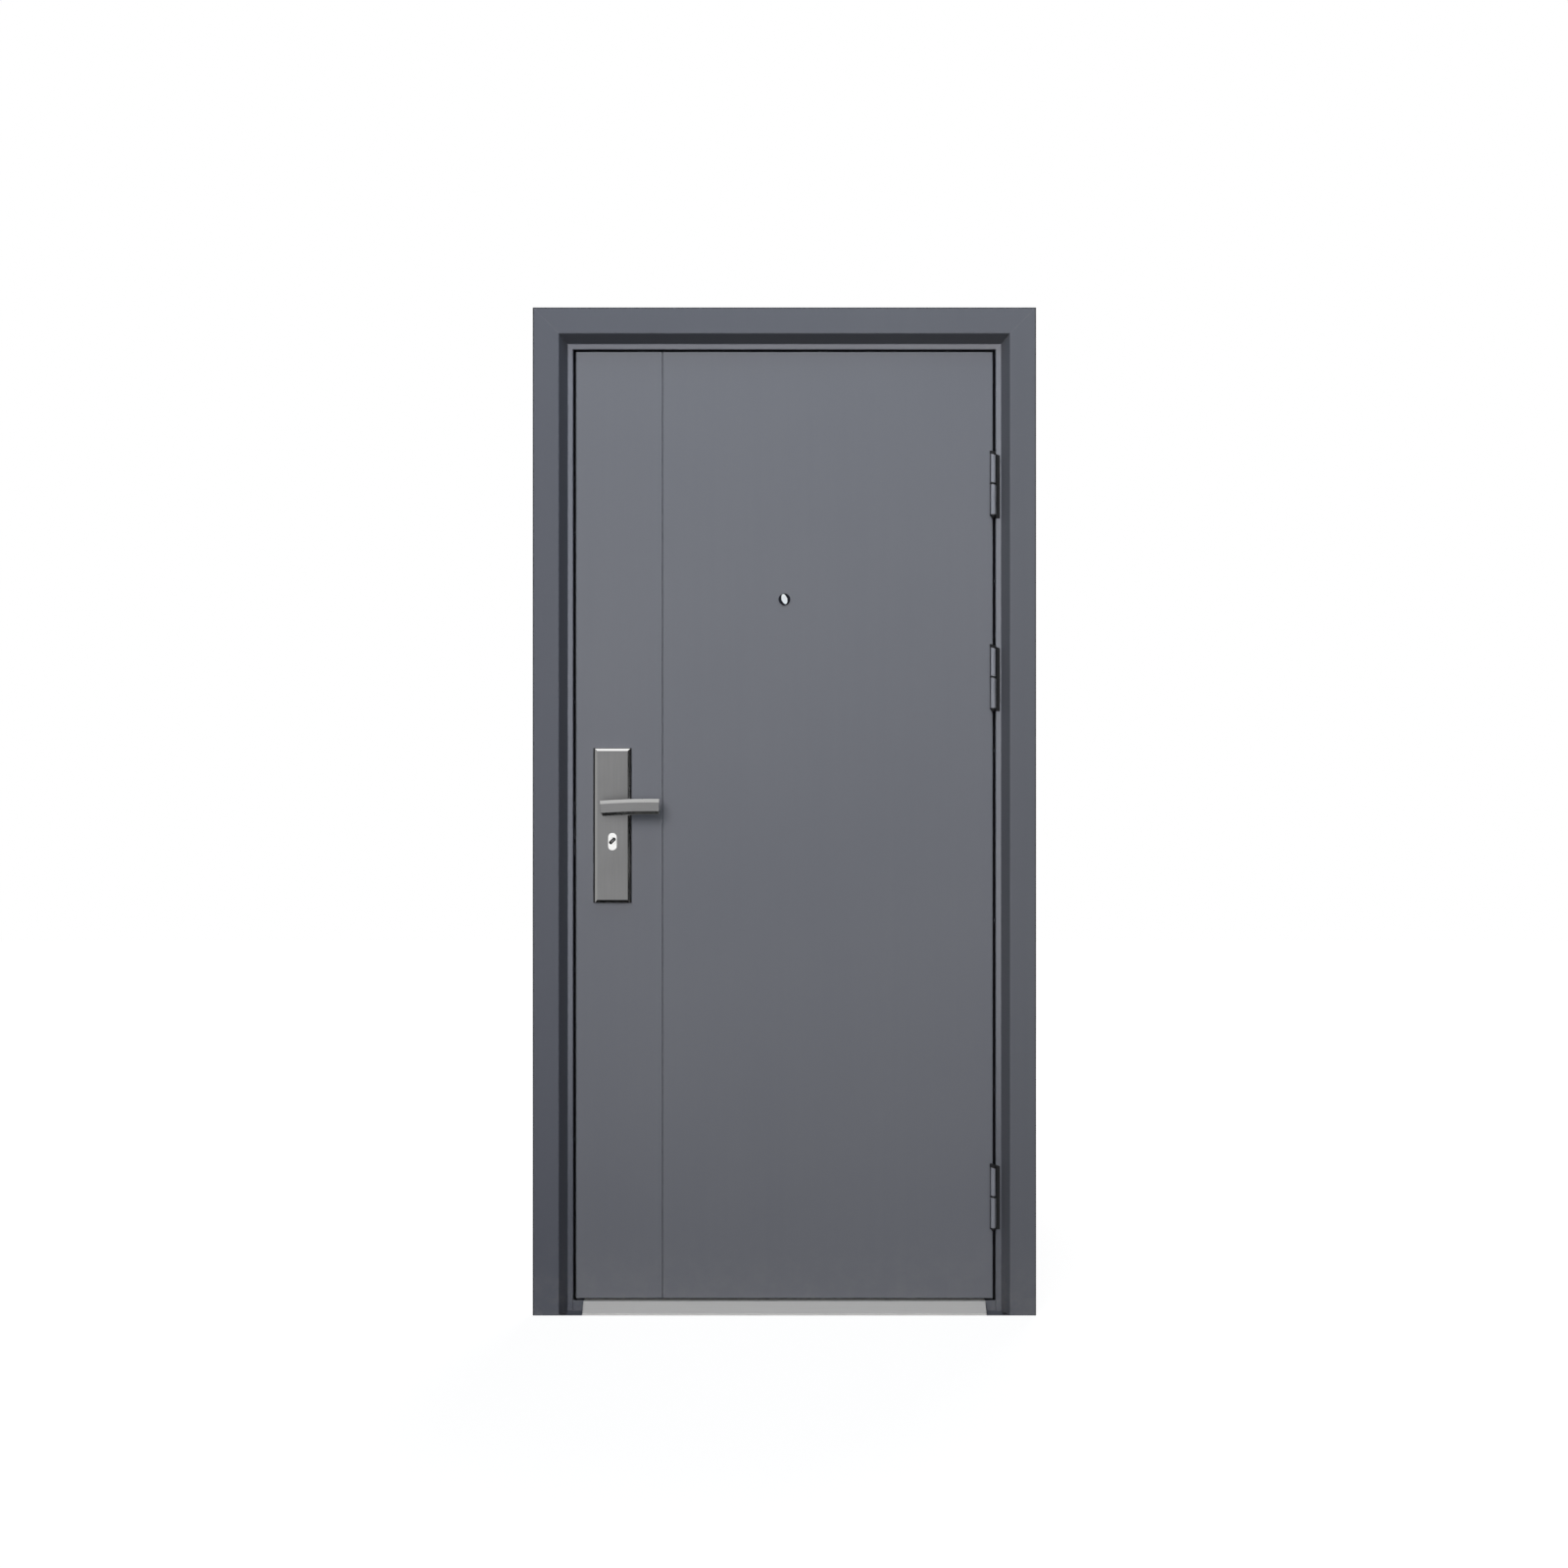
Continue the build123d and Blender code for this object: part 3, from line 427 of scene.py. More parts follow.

# %% [markdown]
# The frame, the leaf and the hinges have the same kind of satin grey-blue coat, so one function makes all
# three, each with its own colour. The coat is not metallic. It is a plain dielectric with a low gloss, so
# most of what it shows is its own colour. Light and shade are also painted into the coats. The frame is
# painted lighter towards its hinge side, and the strip round the leaf is painted lighter, most near the top:
# painted light. The slanted bevel is painted darker, and the narrow gap round the leaf, the rim at the wall
# and the floor sheet under the bevel are painted near black: painted shade. The hinge coat is a lighter, lit
# copy of the frame's, and its barrels are painted black along their sides and at the joint of their halves:
# painted light and painted shade. The masks are taken from the piece's own space, so that they stay in place
# when the leaf swings.

# %% Painted steel
DUST = (0.24, 0.235, 0.225)
DUST_SHARE = 0.22
# Lighter edge colour: partly wear, partly a painted highlight.
RUBBED_AND_LIT = (0.30, 0.305, 0.32)
# Painted light: the lighter colour of the strip round the leaf.
LIT_STRIP = (0.177, 0.181, 0.204)
# Near black for painted shade.
PAINTED_SHADE = (0.012, 0.012, 0.014)
RIM_SHADE = 0.85
BEVEL_SHADE = 0.35
COAT_DRIFT = (0.12, 0.11, 0.08)  # red, green and blue, so that the hue drifts a little as well
# Painted light: the frame's tone rises towards the hinge side.
HINGE_SIDE_LIGHT = 0.7  # tone for each metre towards the hinges
JOINT_SLANT = 0.3
HINGES = ("top", "middle", "bottom")
frame_high = Vector(cad_box[1])
swing = next(j for j in frame["record"]["behaviour"]["joints"] if j["name"] == "leaf_swing")
hinge_x, hinge_y, _ = swing["pos_m"]
joint_heights = []
for place in HINGES:
    upper_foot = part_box(place + "_hinge_leaf_half")[0].z
    lower_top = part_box(place + "_hinge_frame_half")[1].z
    joint_heights.append((upper_foot + lower_top) / 2)


def own_axes(tree, output):
    """X, Y and Z of a place or a normal in the piece's own space."""
    parts = add_node(tree, "ShaderNodeSeparateXYZ")
    join(tree, add_node(tree, "ShaderNodeTexCoord").outputs[output], parts.inputs[0])
    return parts.outputs


def lit_strip_mask(tree):
    """The flat strip round the leaf, painted lighter as painted light: faces the front, lies behind the
    frame's face, fades at the floor.
    """
    place = own_axes(tree, "Object")
    deep = map_range(tree, place["Y"], -0.030, -0.023, 0.0, 1.0)
    front = map_range(tree, own_axes(tree, "Normal")["Y"], -0.97, -0.80, 1.0, 0.0)
    high = map_range(tree, place["Z"], 0.15, 0.75, 0.0, 1.0)
    return math_node(tree, "MULTIPLY", math_node(tree, "MULTIPLY", deep, front), high)


def bevel_mask(tree):
    """The bevel of the frame: a face that looks about two parts aside to one part forward."""
    away = math_node(tree, "ABSOLUTE", math_node(tree, "ADD", own_axes(tree, "Normal")["Y"], 0.447), 0.0)
    return map_range(tree, away, 0.10, 0.25, 1.0, 0.0)


def rebate_mask(tree):
    """The front part of the rebate's sides, round the edge of the closed leaf."""
    place = own_axes(tree, "Object")
    start = map_range(tree, place["Y"], -0.0185, -0.0165, 0.0, 1.0)
    end = map_range(tree, place["Y"], 0.002, 0.022, 1.0, 0.0)
    forward = math_node(tree, "ABSOLUTE", own_axes(tree, "Normal")["Y"], 0.0)
    aside = map_range(tree, forward, 0.3, 0.6, 1.0, 0.0)
    return math_node(tree, "MULTIPLY", math_node(tree, "MULTIPLY", start, end), aside)


def ledge_mask(tree):
    """The floor sheet under the bevel, which takes painted shade: it faces up and lies low."""
    up = map_range(tree, own_axes(tree, "Normal")["Z"], 0.80, 0.95, 0.0, 1.0)
    place = own_axes(tree, "Object")
    low = map_range(tree, place["Z"], 0.010, 0.015, 1.0, 0.0)
    under_bevel = map_range(tree, math_node(tree, "ABSOLUTE", place["X"], 0.0), 0.441, 0.447, 0.0, 1.0)
    return math_node(tree, "MULTIPLY", math_node(tree, "MULTIPLY", up, low), under_bevel)


def side_mask(tree):
    """The sides of an upright barrel."""
    turned_away = math_node(tree, "ABSOLUTE", own_axes(tree, "Normal")["X"], 0.0)
    return map_range(tree, turned_away, 0.70, 0.82, 0.0, 1.0)


def wall_edge_mask(tree):
    """The outer rim of the frame, where it meets the wall."""
    place = own_axes(tree, "Object")
    beside = math_node(tree, "SUBTRACT", math_node(tree, "ABSOLUTE", place["X"], 0.0), frame_high.x)
    above = math_node(tree, "SUBTRACT", place["Z"], frame_high.z)
    return map_range(tree, math_node(tree, "MAXIMUM", beside, above), -0.0034, -0.0020, 0.0, 1.0)


def joint_mask(tree):
    """A slanted line of painted shade on each hinge, where its two halves meet."""
    place = own_axes(tree, "Object")
    lean = math_node(tree, "MULTIPLY", math_node(tree, "SUBTRACT", place["X"], hinge_x), JOINT_SLANT)
    level = math_node(tree, "ADD", place["Z"], lean)
    nearest = None
    for joint_z in joint_heights:
        away = math_node(tree, "ABSOLUTE", math_node(tree, "SUBTRACT", level, joint_z), 0.0)
        nearest = away if nearest is None else math_node(tree, "MINIMUM", nearest, away)
    return map_range(tree, nearest, 0.0018, 0.0024, 1.0, 0.0)


def painted_steel(name, colour, roughness, rub_and_highlight, light_and_shade_share=0.0, barrel_shade_share=0.0):
    material, tree, shader = start_material(name, Specular_IOR_Level=0.10)
    skin = place_group(tree, coat_skin)
    tone = skin["Tone"]
    if light_and_shade_share:
        # The frame is painted lighter towards its hinge side: painted light.
        lit_side = math_node(tree, "MULTIPLY", own_axes(tree, "Object")["X"], HINGE_SIDE_LIGHT)
        tone = math_node(tree, "ADD", tone, lit_side)
    coat = mix_colour(tree, tone, *tone_pair(colour, COAT_DRIFT))
    if light_and_shade_share:
        # The strip is painted lighter, most near the top: painted light.
        lit_strip = mix_colour(tree, tone, *tone_pair(LIT_STRIP, COAT_DRIFT))
        coat = mix_colour(tree, math_node(tree, "MULTIPLY", lit_strip_mask(tree), light_and_shade_share), coat, lit_strip)
        # The gap round the leaf, the rim at the wall and the floor sheet under the bevel are painted near
        # black: painted shade.
        deep_shade = math_node(tree, "MAXIMUM", ledge_mask(tree), rebate_mask(tree))
        rim = math_node(tree, "MULTIPLY", wall_edge_mask(tree), RIM_SHADE)
        deep_shade = math_node(tree, "MAXIMUM", deep_shade, rim)
        coat = mix_colour(tree, math_node(tree, "MULTIPLY", deep_shade, light_and_shade_share), coat, PAINTED_SHADE)
        # The bevel is painted darker: painted shade.
        bevel_shade = math_node(tree, "MULTIPLY", bevel_mask(tree), BEVEL_SHADE * light_and_shade_share)
        coat = mix_colour(tree, bevel_shade, coat, PAINTED_SHADE)
    if barrel_shade_share:
        # The barrel sides and the joint of the hinge halves are painted black: painted shade.
        barrel_shade = math_node(tree, "MAXIMUM", side_mask(tree), joint_mask(tree))
        coat = mix_colour(tree, math_node(tree, "MULTIPLY", barrel_shade, barrel_shade_share), coat, PAINTED_SHADE)
    # Edges are painted lighter, partly as wear and partly as a painted highlight.
    rubbed_and_lit = math_node(tree, "MULTIPLY", place_group(tree, rubbed_and_lit_edges)["Mask"], rub_and_highlight)
    coat = mix_colour(tree, rubbed_and_lit, coat, RUBBED_AND_LIT)
    dusty = math_node(tree, "MULTIPLY", place_group(tree, floor_dust)["Mask"], DUST_SHARE)
    join(tree, mix_colour(tree, dusty, coat, DUST), shader.inputs["Base Color"])
    satin = map_range(tree, skin["Tone"], 0.3, 0.7, roughness - 0.05, roughness + 0.06)
    powdery = math_node(tree, "MULTIPLY", dusty, 0.8)
    join(tree, math_node(tree, "ADD", satin, powdery), shader.inputs["Roughness"])
    bump(tree, shader, skin["Height"], 0.18, 0.0004)
    return material


finishes = {
    "frame_paint": painted_steel("Frame coat", (0.098, 0.102, 0.119), 0.42, 0.25, light_and_shade_share=0.85),
    "leaf_paint": painted_steel("Leaf coat", (0.134, 0.138, 0.156), 0.40, 0.30),
    # The hinge coat is lighter than the frame coat, a lit copy: painted light.
    "hinge_paint": painted_steel("Lit hinge coat", (0.200, 0.205, 0.230), 0.34, 0.25, barrel_shade_share=0.95),
}
print("painted finishes:", sorted(finishes))

# %% [markdown]
# The handle plate and the lever are satin in front, with bright cut bevels. The bevels are found by
# the normal in the object's own space: where it turns away from the front and back, the metal is
# polished. That mask stays on the piece when the door swings.

# %% Handle steel
SATIN = (0.245, 0.245, 0.247)


def satin_with_bright_bevels(name, frequency, bright, polish):
    material, tree, shader = start_material(name, Metallic=1.0)
    flat = math_node(tree, "ABSOLUTE", own_axes(tree, "Normal")["Y"], 0.0)
    bevel = map_range(tree, flat, 0.85, 0.97, 1.0, 0.0)
    brush = place_group(tree, brushed_lines, Frequency=frequency)
    satin = mix_colour(tree, brush["Line"], *tone_pair(SATIN, 0.10))
    join(tree, mix_colour(tree, bevel, satin, bright), shader.inputs["Base Color"])
    rough = map_range(tree, brush["Cloud"], 0.3, 0.7, 0.36, 0.46)
    polished = math_node(tree, "MULTIPLY", bevel, polish)
    join(tree, math_node(tree, "SUBTRACT", rough, polished), shader.inputs["Roughness"])
    bump(tree, shader, brush["Line"], 0.10, 0.0002)
    return material


UPRIGHT_LINES = (900.0, 900.0, 14.0)
LEVEL_LINES = (14.0, 900.0, 900.0)
plate_finish = satin_with_bright_bevels("Plate satin steel", UPRIGHT_LINES, (0.86, 0.86, 0.85), 0.26)
lever_finish = satin_with_bright_bevels("Lever satin steel", LEVEL_LINES, (0.47, 0.47, 0.465), 0.12)
finishes["handle_steel"] = lever_finish
print("handle finishes:", plate_finish.name, lever_finish.name)

# %% [markdown]
# The other metals are plain brushed ones: the stainless sill is brushed along its length, the lock parts are
# zinc-plated, and the key cylinder is bright nickel. One function makes them all, and lightens their edges,
# partly as wear and partly as a painted highlight. The plug is bright only on its two faces: inside the
# keyway it is painted black, a painted shade for the deep slot. The sill is blasted matt so that nobody
# slips on it, so only a part of its light is a reflection.

# %% Other metals


def brushed_metal(name, colour, roughness, frequency, spread, relief, shaded_inside=None, metallic=1.0):
    material, tree, shader = start_material(name, Metallic=metallic)
    brush = place_group(tree, brushed_lines, Frequency=frequency)
    metal = mix_colour(tree, brush["Line"], *tone_pair(colour, spread))
    # Edges are painted lighter, partly as wear and partly as a painted highlight.
    rubbed_and_lit = math_node(tree, "MULTIPLY", place_group(tree, rubbed_and_lit_edges, Radius=0.001)["Mask"], 0.4)
    bright = tuple(min(1.0, c * 1.5) for c in colour)
    metal = mix_colour(tree, rubbed_and_lit, metal, bright)
    # The inside of the keyway is painted black: painted shade.
    if shaded_inside:
        middle, half = shaded_inside
        from_middle = math_node(tree, "SUBTRACT", own_axes(tree, "Object")["Y"], middle)
        from_middle = math_node(tree, "ABSOLUTE", from_middle, 0.0)
        inside = map_range(tree, from_middle, half - 0.0006, half - 0.0002, 1.0, 0.0)
        metal = mix_colour(tree, inside, metal, PAINTED_SHADE)
    join(tree, metal, shader.inputs["Base Color"])
    rough = map_range(tree, brush["Cloud"], 0.3, 0.7, roughness - 0.05, roughness + 0.07)
    join(tree, rough, shader.inputs["Roughness"])
    bump(tree, shader, brush["Line"], relief, 0.0002)
    return material


finishes["sill_steel"] = brushed_metal(
    "Sill stainless", (0.51, 0.499, 0.487), 0.40, (9.0, 700.0, 700.0), 0.12, 0.12, metallic=0.3
)
finishes["lock_steel"] = brushed_metal(
    "Lock zinc plate", (0.46, 0.46, 0.47), 0.34, (500.0, 500.0, 30.0), 0.10, 0.10
)
NICKEL = (0.93, 0.93, 0.92)
TURNED_LINES = (300.0, 40.0, 300.0)
finishes["cylinder_chrome"] = brushed_metal("Cylinder nickel", NICKEL, 0.16, TURNED_LINES, 0.03, 0.04)
plug_low, plug_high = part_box("key_plug")
plug_half = (plug_high.y - plug_low.y) / 2
plug_inside = (plug_low.y + plug_half, plug_half)
plug_finish = brushed_metal("Plug nickel", NICKEL, 0.16, TURNED_LINES, 0.03, 0.04, plug_inside)
finishes["viewer_chrome"] = brushed_metal(
    "Viewer dark plate", (0.020, 0.021, 0.028), 0.20, TURNED_LINES, 0.15, 0.04
)
print("metals ready")

# %% [markdown]
# The seals are matt black rubber with a faint bloom. The lens of the viewer is an opaque pale surface under
# a clear coat: its pale colour is a painted reflection, so from outside it looks like a bright oval and
# hides what is behind it.

# %% Rubber and glass
material, tree, shader = start_material("Seal rubber", Specular_IOR_Level=0.15)
skin = place_group(tree, coat_skin, Grain_Scale=1500.0, Drift_Scale=12.0)
black = mix_colour(tree, skin["Tone"], (0.007, 0.007, 0.008), (0.020, 0.020, 0.021))
join(tree, black, shader.inputs["Base Color"])
join(tree, map_range(tree, skin["Tone"], 0.3, 0.7, 0.55, 0.75), shader.inputs["Roughness"])
bump(tree, shader, skin["Height"], 0.15, 0.0003)
finishes["seal_rubber"] = material

material, tree, shader = start_material("Viewer glass", IOR=1.5, Coat_Weight=1.0, Coat_Roughness=0.03)
skin = place_group(tree, coat_skin, Grain_Scale=400.0, Drift_Scale=90.0)
# Pale lens colour: a painted reflection.
painted_reflection = mix_colour(tree, skin["Tone"], (0.54, 0.56, 0.58), (0.70, 0.72, 0.73))
join(tree, painted_reflection, shader.inputs["Base Color"])
join(tree, map_range(tree, skin["Tone"], 0.3, 0.7, 0.05, 0.12), shader.inputs["Roughness"])
finishes["viewer_glass"] = material
print("rubber and glass ready")

# %% [markdown]
# Each CAD node names the finish that it wears, so the finishes go on in one loop.

# %% Dress the nodes
for part in frame["record"]["subparts"]:
    body = nodes[part["node"]]
    finish = finishes[part["material_slot"]]
    if part["node"].endswith("_plate"):
        finish = plate_finish
    if part["node"] == "key_plug":
        finish = plug_finish
    body.data.materials.clear()
    body.data.materials.append(finish)

# %% [markdown]
# The CAD edges are perfectly sharp, and no real edge is: it always catches a thin line of light. Here
# each hard piece gets a small bevel as a modifier, so the CAD mesh under it stays as it was. The first
# node tree drops the stored normals and joins the split faces, and the last one shades by angle. Then
# the normals are weighted by area, so that large faces stay flat up to their bevels.

# %% Softened edges
SOFT_EDGES = {
    "outside_plate": 0.0004,
    "inside_plate": 0.0004,
    "outside_lever": 0.0008,
    "inside_lever": 0.0008,
    "sill": 0.0008,
    "viewer_bezel": 0.0010,
    "viewer_eyepiece": 0.0010,
    "viewer_lens": 0.0006,
    "lock_cylinder": 0.0004,
    "lock_faceplate": 0.0003,
    "latch": 0.0008,
    "lock_bolts": 0.0008,
}
for place in HINGES:
    SOFT_EDGES[place + "_hinge_leaf_half"] = 0.0006
    SOFT_EDGES[place + "_hinge_frame_half"] = 0.0006
    SOFT_EDGES[place + "_hinge_pad"] = 0.0003
SHARP_ANGLE = math.radians(22)
JOIN_DISTANCE = 0.00001


def start_shape_group(name):
    group = bpy.data.node_groups.new(name, "GeometryNodeTree")
    for way in ("INPUT", "OUTPUT"):
        group.interface.new_socket("Geometry", in_out=way, socket_type="NodeSocketGeometry")
    return group, group.nodes.new("NodeGroupInput").outputs[0], group.nodes.new("NodeGroupOutput").inputs[0]


join_faces, shape, joined = start_shape_group("Join split faces")
plain = add_node(join_faces, "GeometryNodeRemoveAttribute", in_Name="custom_normal")
join(join_faces, shape, plain.inputs["Geometry"])
merge = add_node(join_faces, "GeometryNodeMergeByDistance", in_Distance=JOIN_DISTANCE)
join(join_faces, plain.outputs["Geometry"], merge.inputs["Geometry"])
join(join_faces, merge.outputs["Geometry"], joined)

shade_by_angle, shape, shaded = start_shape_group("Shade by angle")
faces = add_node(shade_by_angle, "GeometryNodeSetShadeSmooth", domain="FACE")
join(shade_by_angle, shape, faces.inputs["Geometry"])
angle = add_node(shade_by_angle, "GeometryNodeInputMeshEdgeAngle")
gentle = add_node(shade_by_angle, "FunctionNodeCompare", data_type="FLOAT", operation="LESS_THAN")
join(shade_by_angle, angle.outputs["Unsigned Angle"], gentle.inputs[0])
gentle.inputs[1].default_value = SHARP_ANGLE
edges = add_node(shade_by_angle, "GeometryNodeSetShadeSmooth", domain="EDGE")
join(shade_by_angle, faces.outputs["Geometry"], edges.inputs["Geometry"])
join(shade_by_angle, gentle.outputs[0], edges.inputs["Shade Smooth"])
join(shade_by_angle, edges.outputs["Geometry"], shaded)

for name, width in SOFT_EDGES.items():
    stack = nodes[name].modifiers
    stack.new("Join", "NODES").node_group = join_faces
    flatten = stack.new("Flatten", "DECIMATE")
    flatten.decimate_type = "DISSOLVE"
    flatten.angle_limit = math.radians(0.5)
    soften = stack.new("Soften", "BEVEL")
    soften.width = width
    soften.segments = 2
    soften.limit_method = "ANGLE"
    soften.angle_limit = SHARP_ANGLE
    stack.new("Shade", "NODES").node_group = shade_by_angle
    stack.new("Flat faces", "WEIGHTED_NORMAL").keep_sharp = True
print("softened:", len(SOFT_EDGES))

# %% [markdown]
# Small turned pieces are made like turned work on a lathe: a half outline is spun about an axis. The
# outline is a list of radius and height. A slant leans the rings over, as a cap cut at an angle.

# %% Piece helpers
TURN_STEPS = 32


def finish_piece(name, shape, place, body, slot):
    """A mesh from a bmesh, put in place, dressed, and riding on a body of the door."""
    mesh = bpy.data.meshes.new(name)
    bmesh.ops.recalc_face_normals(shape, faces=shape.faces)
    shape.to_mesh(mesh)
    shape.free()
    mesh.transform(place)
    mesh.shade_smooth()
    mesh.set_sharp_from_angle(angle=SHARP_ANGLE)
    mesh.materials.append(finishes[slot])
    piece = bpy.data.objects.new(name, mesh)
    bpy.context.scene.collection.objects.link(piece)
    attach(piece, body)
    return piece


def towards(origin, axis):
    """A place whose Z is along an axis."""
    return Matrix.Translation(origin) @ Vector(axis).to_track_quat("Z", "Y").to_matrix().to_4x4()


def ring_of(shape, radius, height, slant):
    turns = [math.tau * step / TURN_STEPS for step in range(TURN_STEPS)]
    spots = [(radius * math.cos(turn), radius * math.sin(turn)) for turn in turns]
    return [shape.verts.new((x, y, height - slant * x)) for x, y in spots]


def turned(outline, slant=0.0):
    """A closed turned shape."""
    shape = bmesh.new()
    rings = [ring_of(shape, radius, height, slant) for radius, height in outline]
    for low, high in zip(rings, rings[1:]):
        for step in range(TURN_STEPS):
            after = (step + 1) % TURN_STEPS
            shape.faces.new((low[step], low[after], high[after], high[step]))
    shape.faces.new(rings[0])
    shape.faces.new(rings[-1])
    return shape


def prism(outline, low, high, chamfer):
    """A flat outline raised from one height to another, with its upper rim chamfered."""
    shape = bmesh.new()
    base = shape.faces.new([shape.verts.new((x, y, low)) for x, y in outline])
    raised = bmesh.ops.extrude_face_region(shape, geom=[base])["geom"]
    top = [v for v in raised if isinstance(v, bmesh.types.BMVert)]
    bmesh.ops.translate(shape, vec=(0, 0, high - low), verts=top)
    rim = [e for e in shape.edges if all(v in top for v in e.verts)]
    bmesh.ops.bevel(shape, geom=rim, offset=chamfer, segments=1, affect="EDGES")
    return shape


print("piece helpers ready")

# %% [markdown]
# Each hinge barrel ends in black: a cap cut at a slant on top, a small pointed cap below, and a bearing
# washer between the two halves, which the weight of the leaf rests on. The pointed lower cap is painted
# shade, a black wedge in the shape of the shadow under the barrel, and the washer's black makes the split
# read dark, also painted shade. The upper cap goes with the leaf and the others stay on the frame.

# %% Hinge caps and washers, with painted shade
barrel_radius = hinge_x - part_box("top_hinge_leaf_half")[0].x
CAP_LIP = 0.0003
SLANT = 0.32
for place, joint_z in zip(HINGES, joint_heights):
    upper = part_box(place + "_hinge_leaf_half")
    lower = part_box(place + "_hinge_frame_half")
    wide = barrel_radius + CAP_LIP
    cap = turned([(wide, -0.0045), (wide, 0.0012), (wide - 0.0006, 0.0020)], SLANT)
    seat = Matrix.Translation((hinge_x, hinge_y, upper[1].z))
    finish_piece(place + "_hinge_upper_cap", cap, seat, "leaf", "seal_rubber")
    shade_tip = turned([(wide, 0.0006), (wide, -0.0018), (0.0014, -0.0075), (0.0006, -0.0078)])
    seat = Matrix.Translation((hinge_x, hinge_y, lower[0].z))
    finish_piece(place + "_hinge_lower_shade_cap", shade_tip, seat, "frame", "seal_rubber")
    washer = turned([(wide, -0.0015), (wide, 0.0015)], 0.04)
    seat = Matrix.Translation((hinge_x, hinge_y, joint_z))
    finish_piece(place + "_hinge_washer", washer, seat, "frame", "seal_rubber")
print("hinges dressed: 3")

# %% [markdown]
# Screws with a cross recess hold the hinge wings, the inside plate and the lock's faceplate. The top of
# a head is a flat ring between a circle and a cross, the cross is pushed down for the recess, and the
# rim is chamfered down to the plate.

# %% Screws
CROSS_ARM = 0.55
CROSS_WIDTH = 0.13


def screw_head(radius, height):
    """An oval screw head on the plane z = 0, with a cross recess."""
    shape = bmesh.new()
    arm, half = radius * CROSS_ARM, radius * CROSS_WIDTH
    quarter = [(arm, -half), (arm, half), (half, half)]
    cross = []
    for turn in range(4):
        cosine, sine = round(math.cos(math.pi / 2 * turn)), round(math.sin(math.pi / 2 * turn))
        cross += [(x * cosine - y * sine, x * sine + y * cosine) for x, y in quarter]
    rim = ring_of(shape, radius * 0.86, height, 0.0)
    slot_top = [shape.verts.new((x, y, height)) for x, y in cross]
    slot_floor = [shape.verts.new((x * 0.9, y * 0.9, height * 0.25)) for x, y in cross]
    foot = ring_of(shape, radius, height * 0.35, 0.0)
    seat = ring_of(shape, radius, 0.0, 0.0)
    loops = [[shape.edges.new((loop[i - 1], loop[i])) for i in range(len(loop))] for loop in (rim, slot_top)]
    bmesh.ops.triangle_fill(shape, edges=loops[0] + loops[1], use_beauty=True)
    for low, high in ((slot_floor, slot_top), (foot, rim), (seat, foot)):
        for i in range(len(low)):
            shape.faces.new((low[i - 1], low[i], high[i], high[i - 1]))
    shape.faces.new(slot_floor)
    shape.faces.new(seat)
    return shape


WING_SCREW = (0.0032, 0.0007)  # radius and height of the head
PLATE_SCREW = (0.0042, 0.0012)
FACEPLATE_SCREW = (0.0042, 0.0004)
WING_SPOTS = ((0.25, 0.40), (0.75, 0.40), (0.5, 0.75))  # along the wing, and back over its depth
PLATE_SPOTS = (0.06, 0.94)  # up the plate
FACEPLATE_INSET = 0.010
LOCK_EDGE_LEAN = 0.05
WING_THICKNESS = 0.002
leaf_edge_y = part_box("front_skin")[0].y
screws = 0
for place in HINGES:
    for half, body, side in (("leaf", "leaf", 1), ("frame", "frame", -1)):
        low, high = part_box(f"{place}_hinge_{half}_half")
        outer_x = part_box("front_skin")[1].x + WING_THICKNESS if side > 0 else high.x - WING_THICKNESS
        for along, back in WING_SPOTS:
            spot = (
                outer_x,
                leaf_edge_y + (high.y - leaf_edge_y) * back,
                low.z + (high.z - low.z) * along,
            )
            name = f"{place}_hinge_{half}_screw_{screws}"
            finish_piece(name, screw_head(*WING_SCREW), towards(spot, (side, 0, 0)), body, "lock_steel")
            screws += 1
low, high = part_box("inside_plate")
for along in PLATE_SPOTS:
    spot = ((low.x + high.x) / 2, high.y, low.z + (high.z - low.z) * along)
    place = towards(spot, (0, 1, 0))
    finish_piece(f"inside_plate_screw_{screws}", screw_head(*PLATE_SCREW), place, "leaf", "lock_steel")
    screws += 1
low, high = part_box("lock_faceplate")
middle_y = (low.y + high.y) / 2
for z in (low.z + FACEPLATE_INSET, high.z - FACEPLATE_INSET):
    spot = (low.x + LOCK_EDGE_LEAN * (middle_y - low.y), middle_y, z)
    place = towards(spot, (-1, LOCK_EDGE_LEAN, 0))
    finish_piece(f"lock_faceplate_screw_{screws}", screw_head(*FACEPLATE_SCREW), place, "leaf", "lock_steel")
    screws += 1
print("screws:", screws)

# %% [markdown]
# A black collar stands round the keyway, a painted shade that widens the dark of the slot, and in the slot a
# key slides past a ward, a thin ridge of steel. In the photograph they show as a black oval with a grey line
# in it. Both turn with the plug. The collar is the room between two ovals, each made of two half circles.

# %% Keyway shade collars and wards
turn = next(j for j in frame["record"]["behaviour"]["joints"] if j["name"] == "key_turn")
plug_x, _, plug_z = turn["pos_m"]
WARD_LENGTH = 0.0085
WARD_WIDTH = 0.0013
KEYWAY = (0.0125, 0.0050)
COLLAR = (0.0165, 0.0072)
COLLAR_HEIGHT = 0.0005
COLLAR_LIFT = 0.0002  # keeps its rim off the cylinder, so that it turns freely
COLLAR_STEPS = 12


def oval(length, width):
    """Points round an oval with straight sides."""
    spots = []
    for end in (1, -1):
        for step in range(COLLAR_STEPS + 1):
            turn = math.pi * (step / COLLAR_STEPS - 0.5)
            along = (length - width) / 2 + width / 2 * math.cos(turn)
            spots.append((end * along, end * width / 2 * math.sin(turn)))
    return spots


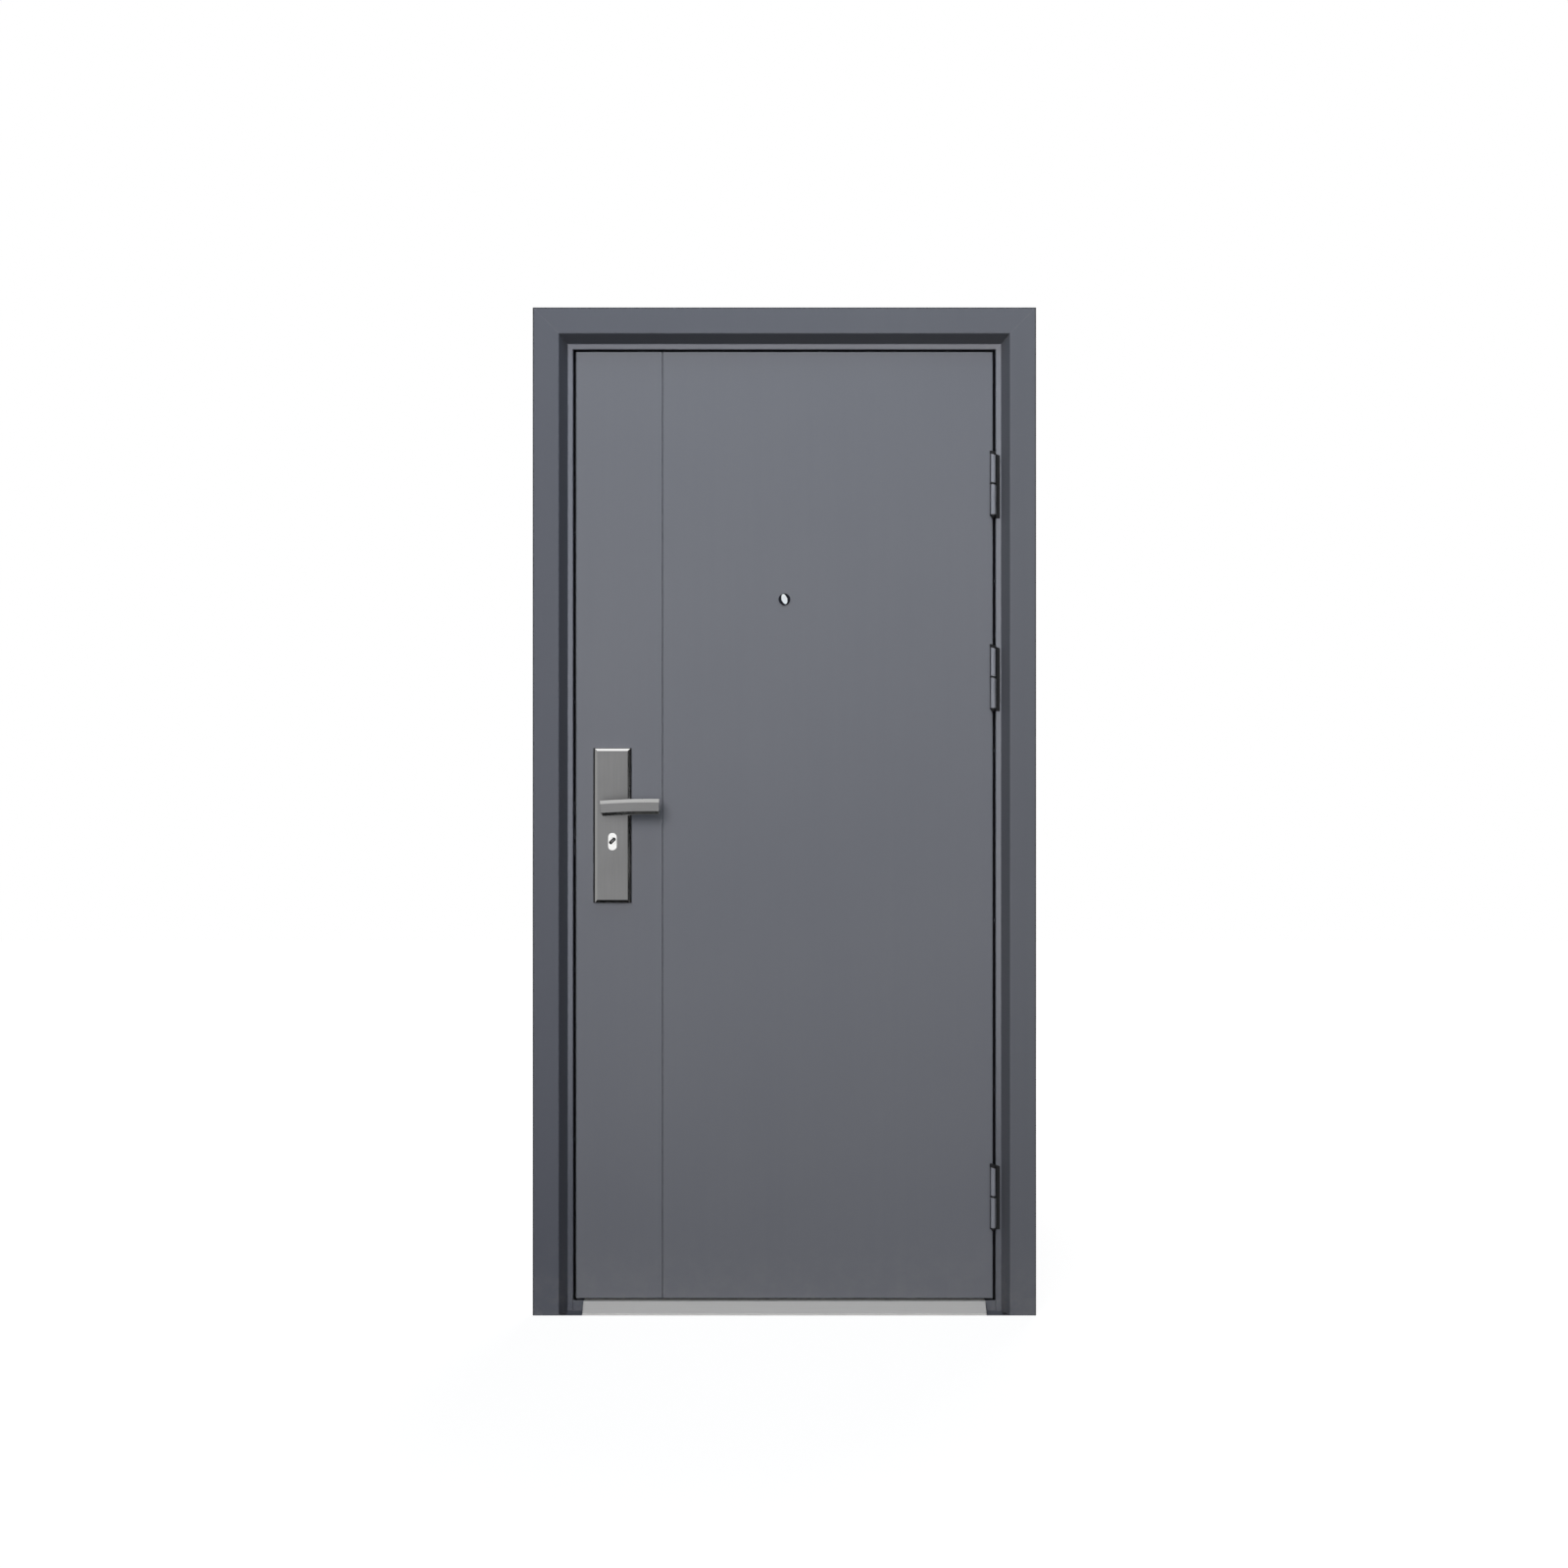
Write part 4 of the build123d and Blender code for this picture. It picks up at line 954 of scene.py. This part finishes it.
def shade_collar():
    shape = bmesh.new()
    loops = []
    section = ((COLLAR, COLLAR_LIFT), (COLLAR, COLLAR_HEIGHT), (KEYWAY, COLLAR_HEIGHT), (KEYWAY, 0.0))
    for size, height in section:
        loops.append([shape.verts.new((x, y, height)) for x, y in oval(*size)])
    for outer, inner in zip(loops, loops[1:] + loops[:1]):
        for i in range(len(outer)):
            shape.faces.new((outer[i - 1], outer[i], inner[i], inner[i - 1]))
    return shape


ward_outline = [(sx * WARD_LENGTH / 2, sy * WARD_WIDTH / 2) for sx, sy in corners]
for side, y, facing in (("outside", plug_low.y, -1), ("inside", plug_high.y, 1)):
    ward = prism(ward_outline, -0.008, -0.0003, 0.0002)
    slant = Matrix.Rotation(math.radians(-45 * facing), 4, "Z")
    place = towards((plug_x, y, plug_z), (0, facing, 0)) @ slant
    finish_piece(side + "_ward", ward, place, "key_plug", "lock_steel")
    finish_piece(side + "_keyway_shade_collar", shade_collar(), place, "key_plug", "seal_rubber")
print("wards and collars: 4")

# %% [markdown]
# Where a plate meets the leaf there is a thin dark line of shade. Here it is painted shade: a bead of black
# rubber, a low frame round the foot of each plate, wider on one side as the shade line is.

# %% Painted shade beads
LEFT, RIGHT, LOW, TOP = 0.0046, 0.0020, 0.0020, 0.0014
BEAD_HEIGHT = 0.0006
for name, node, face_y, facing in (
    ("outside_plate_shade_bead", "outside_plate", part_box("outside_plate")[1].y, -1),
    ("inside_plate_shade_bead", "inside_plate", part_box("inside_plate")[0].y, 1),
):
    low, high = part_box(node)
    shape = bmesh.new()
    loops = []
    for grow, rise in ((1.0, 0.0), (0.7, BEAD_HEIGHT), (0.0, BEAD_HEIGHT)):
        left, right = low.x - LEFT * grow, high.x + RIGHT * grow
        foot, top = low.z - LOW * grow, high.z + TOP * grow
        around = ((left, foot), (right, foot), (right, top), (left, top))
        loops.append([shape.verts.new((x, face_y + facing * rise, z)) for x, z in around])
    for outer, inner in zip(loops, loops[1:]):
        for i in range(4):
            shape.faces.new((outer[i - 1], outer[i], inner[i], inner[i - 1]))
    finish_piece(name, shape, Matrix.Identity(4), "leaf", "seal_rubber")
print("beads: 2")
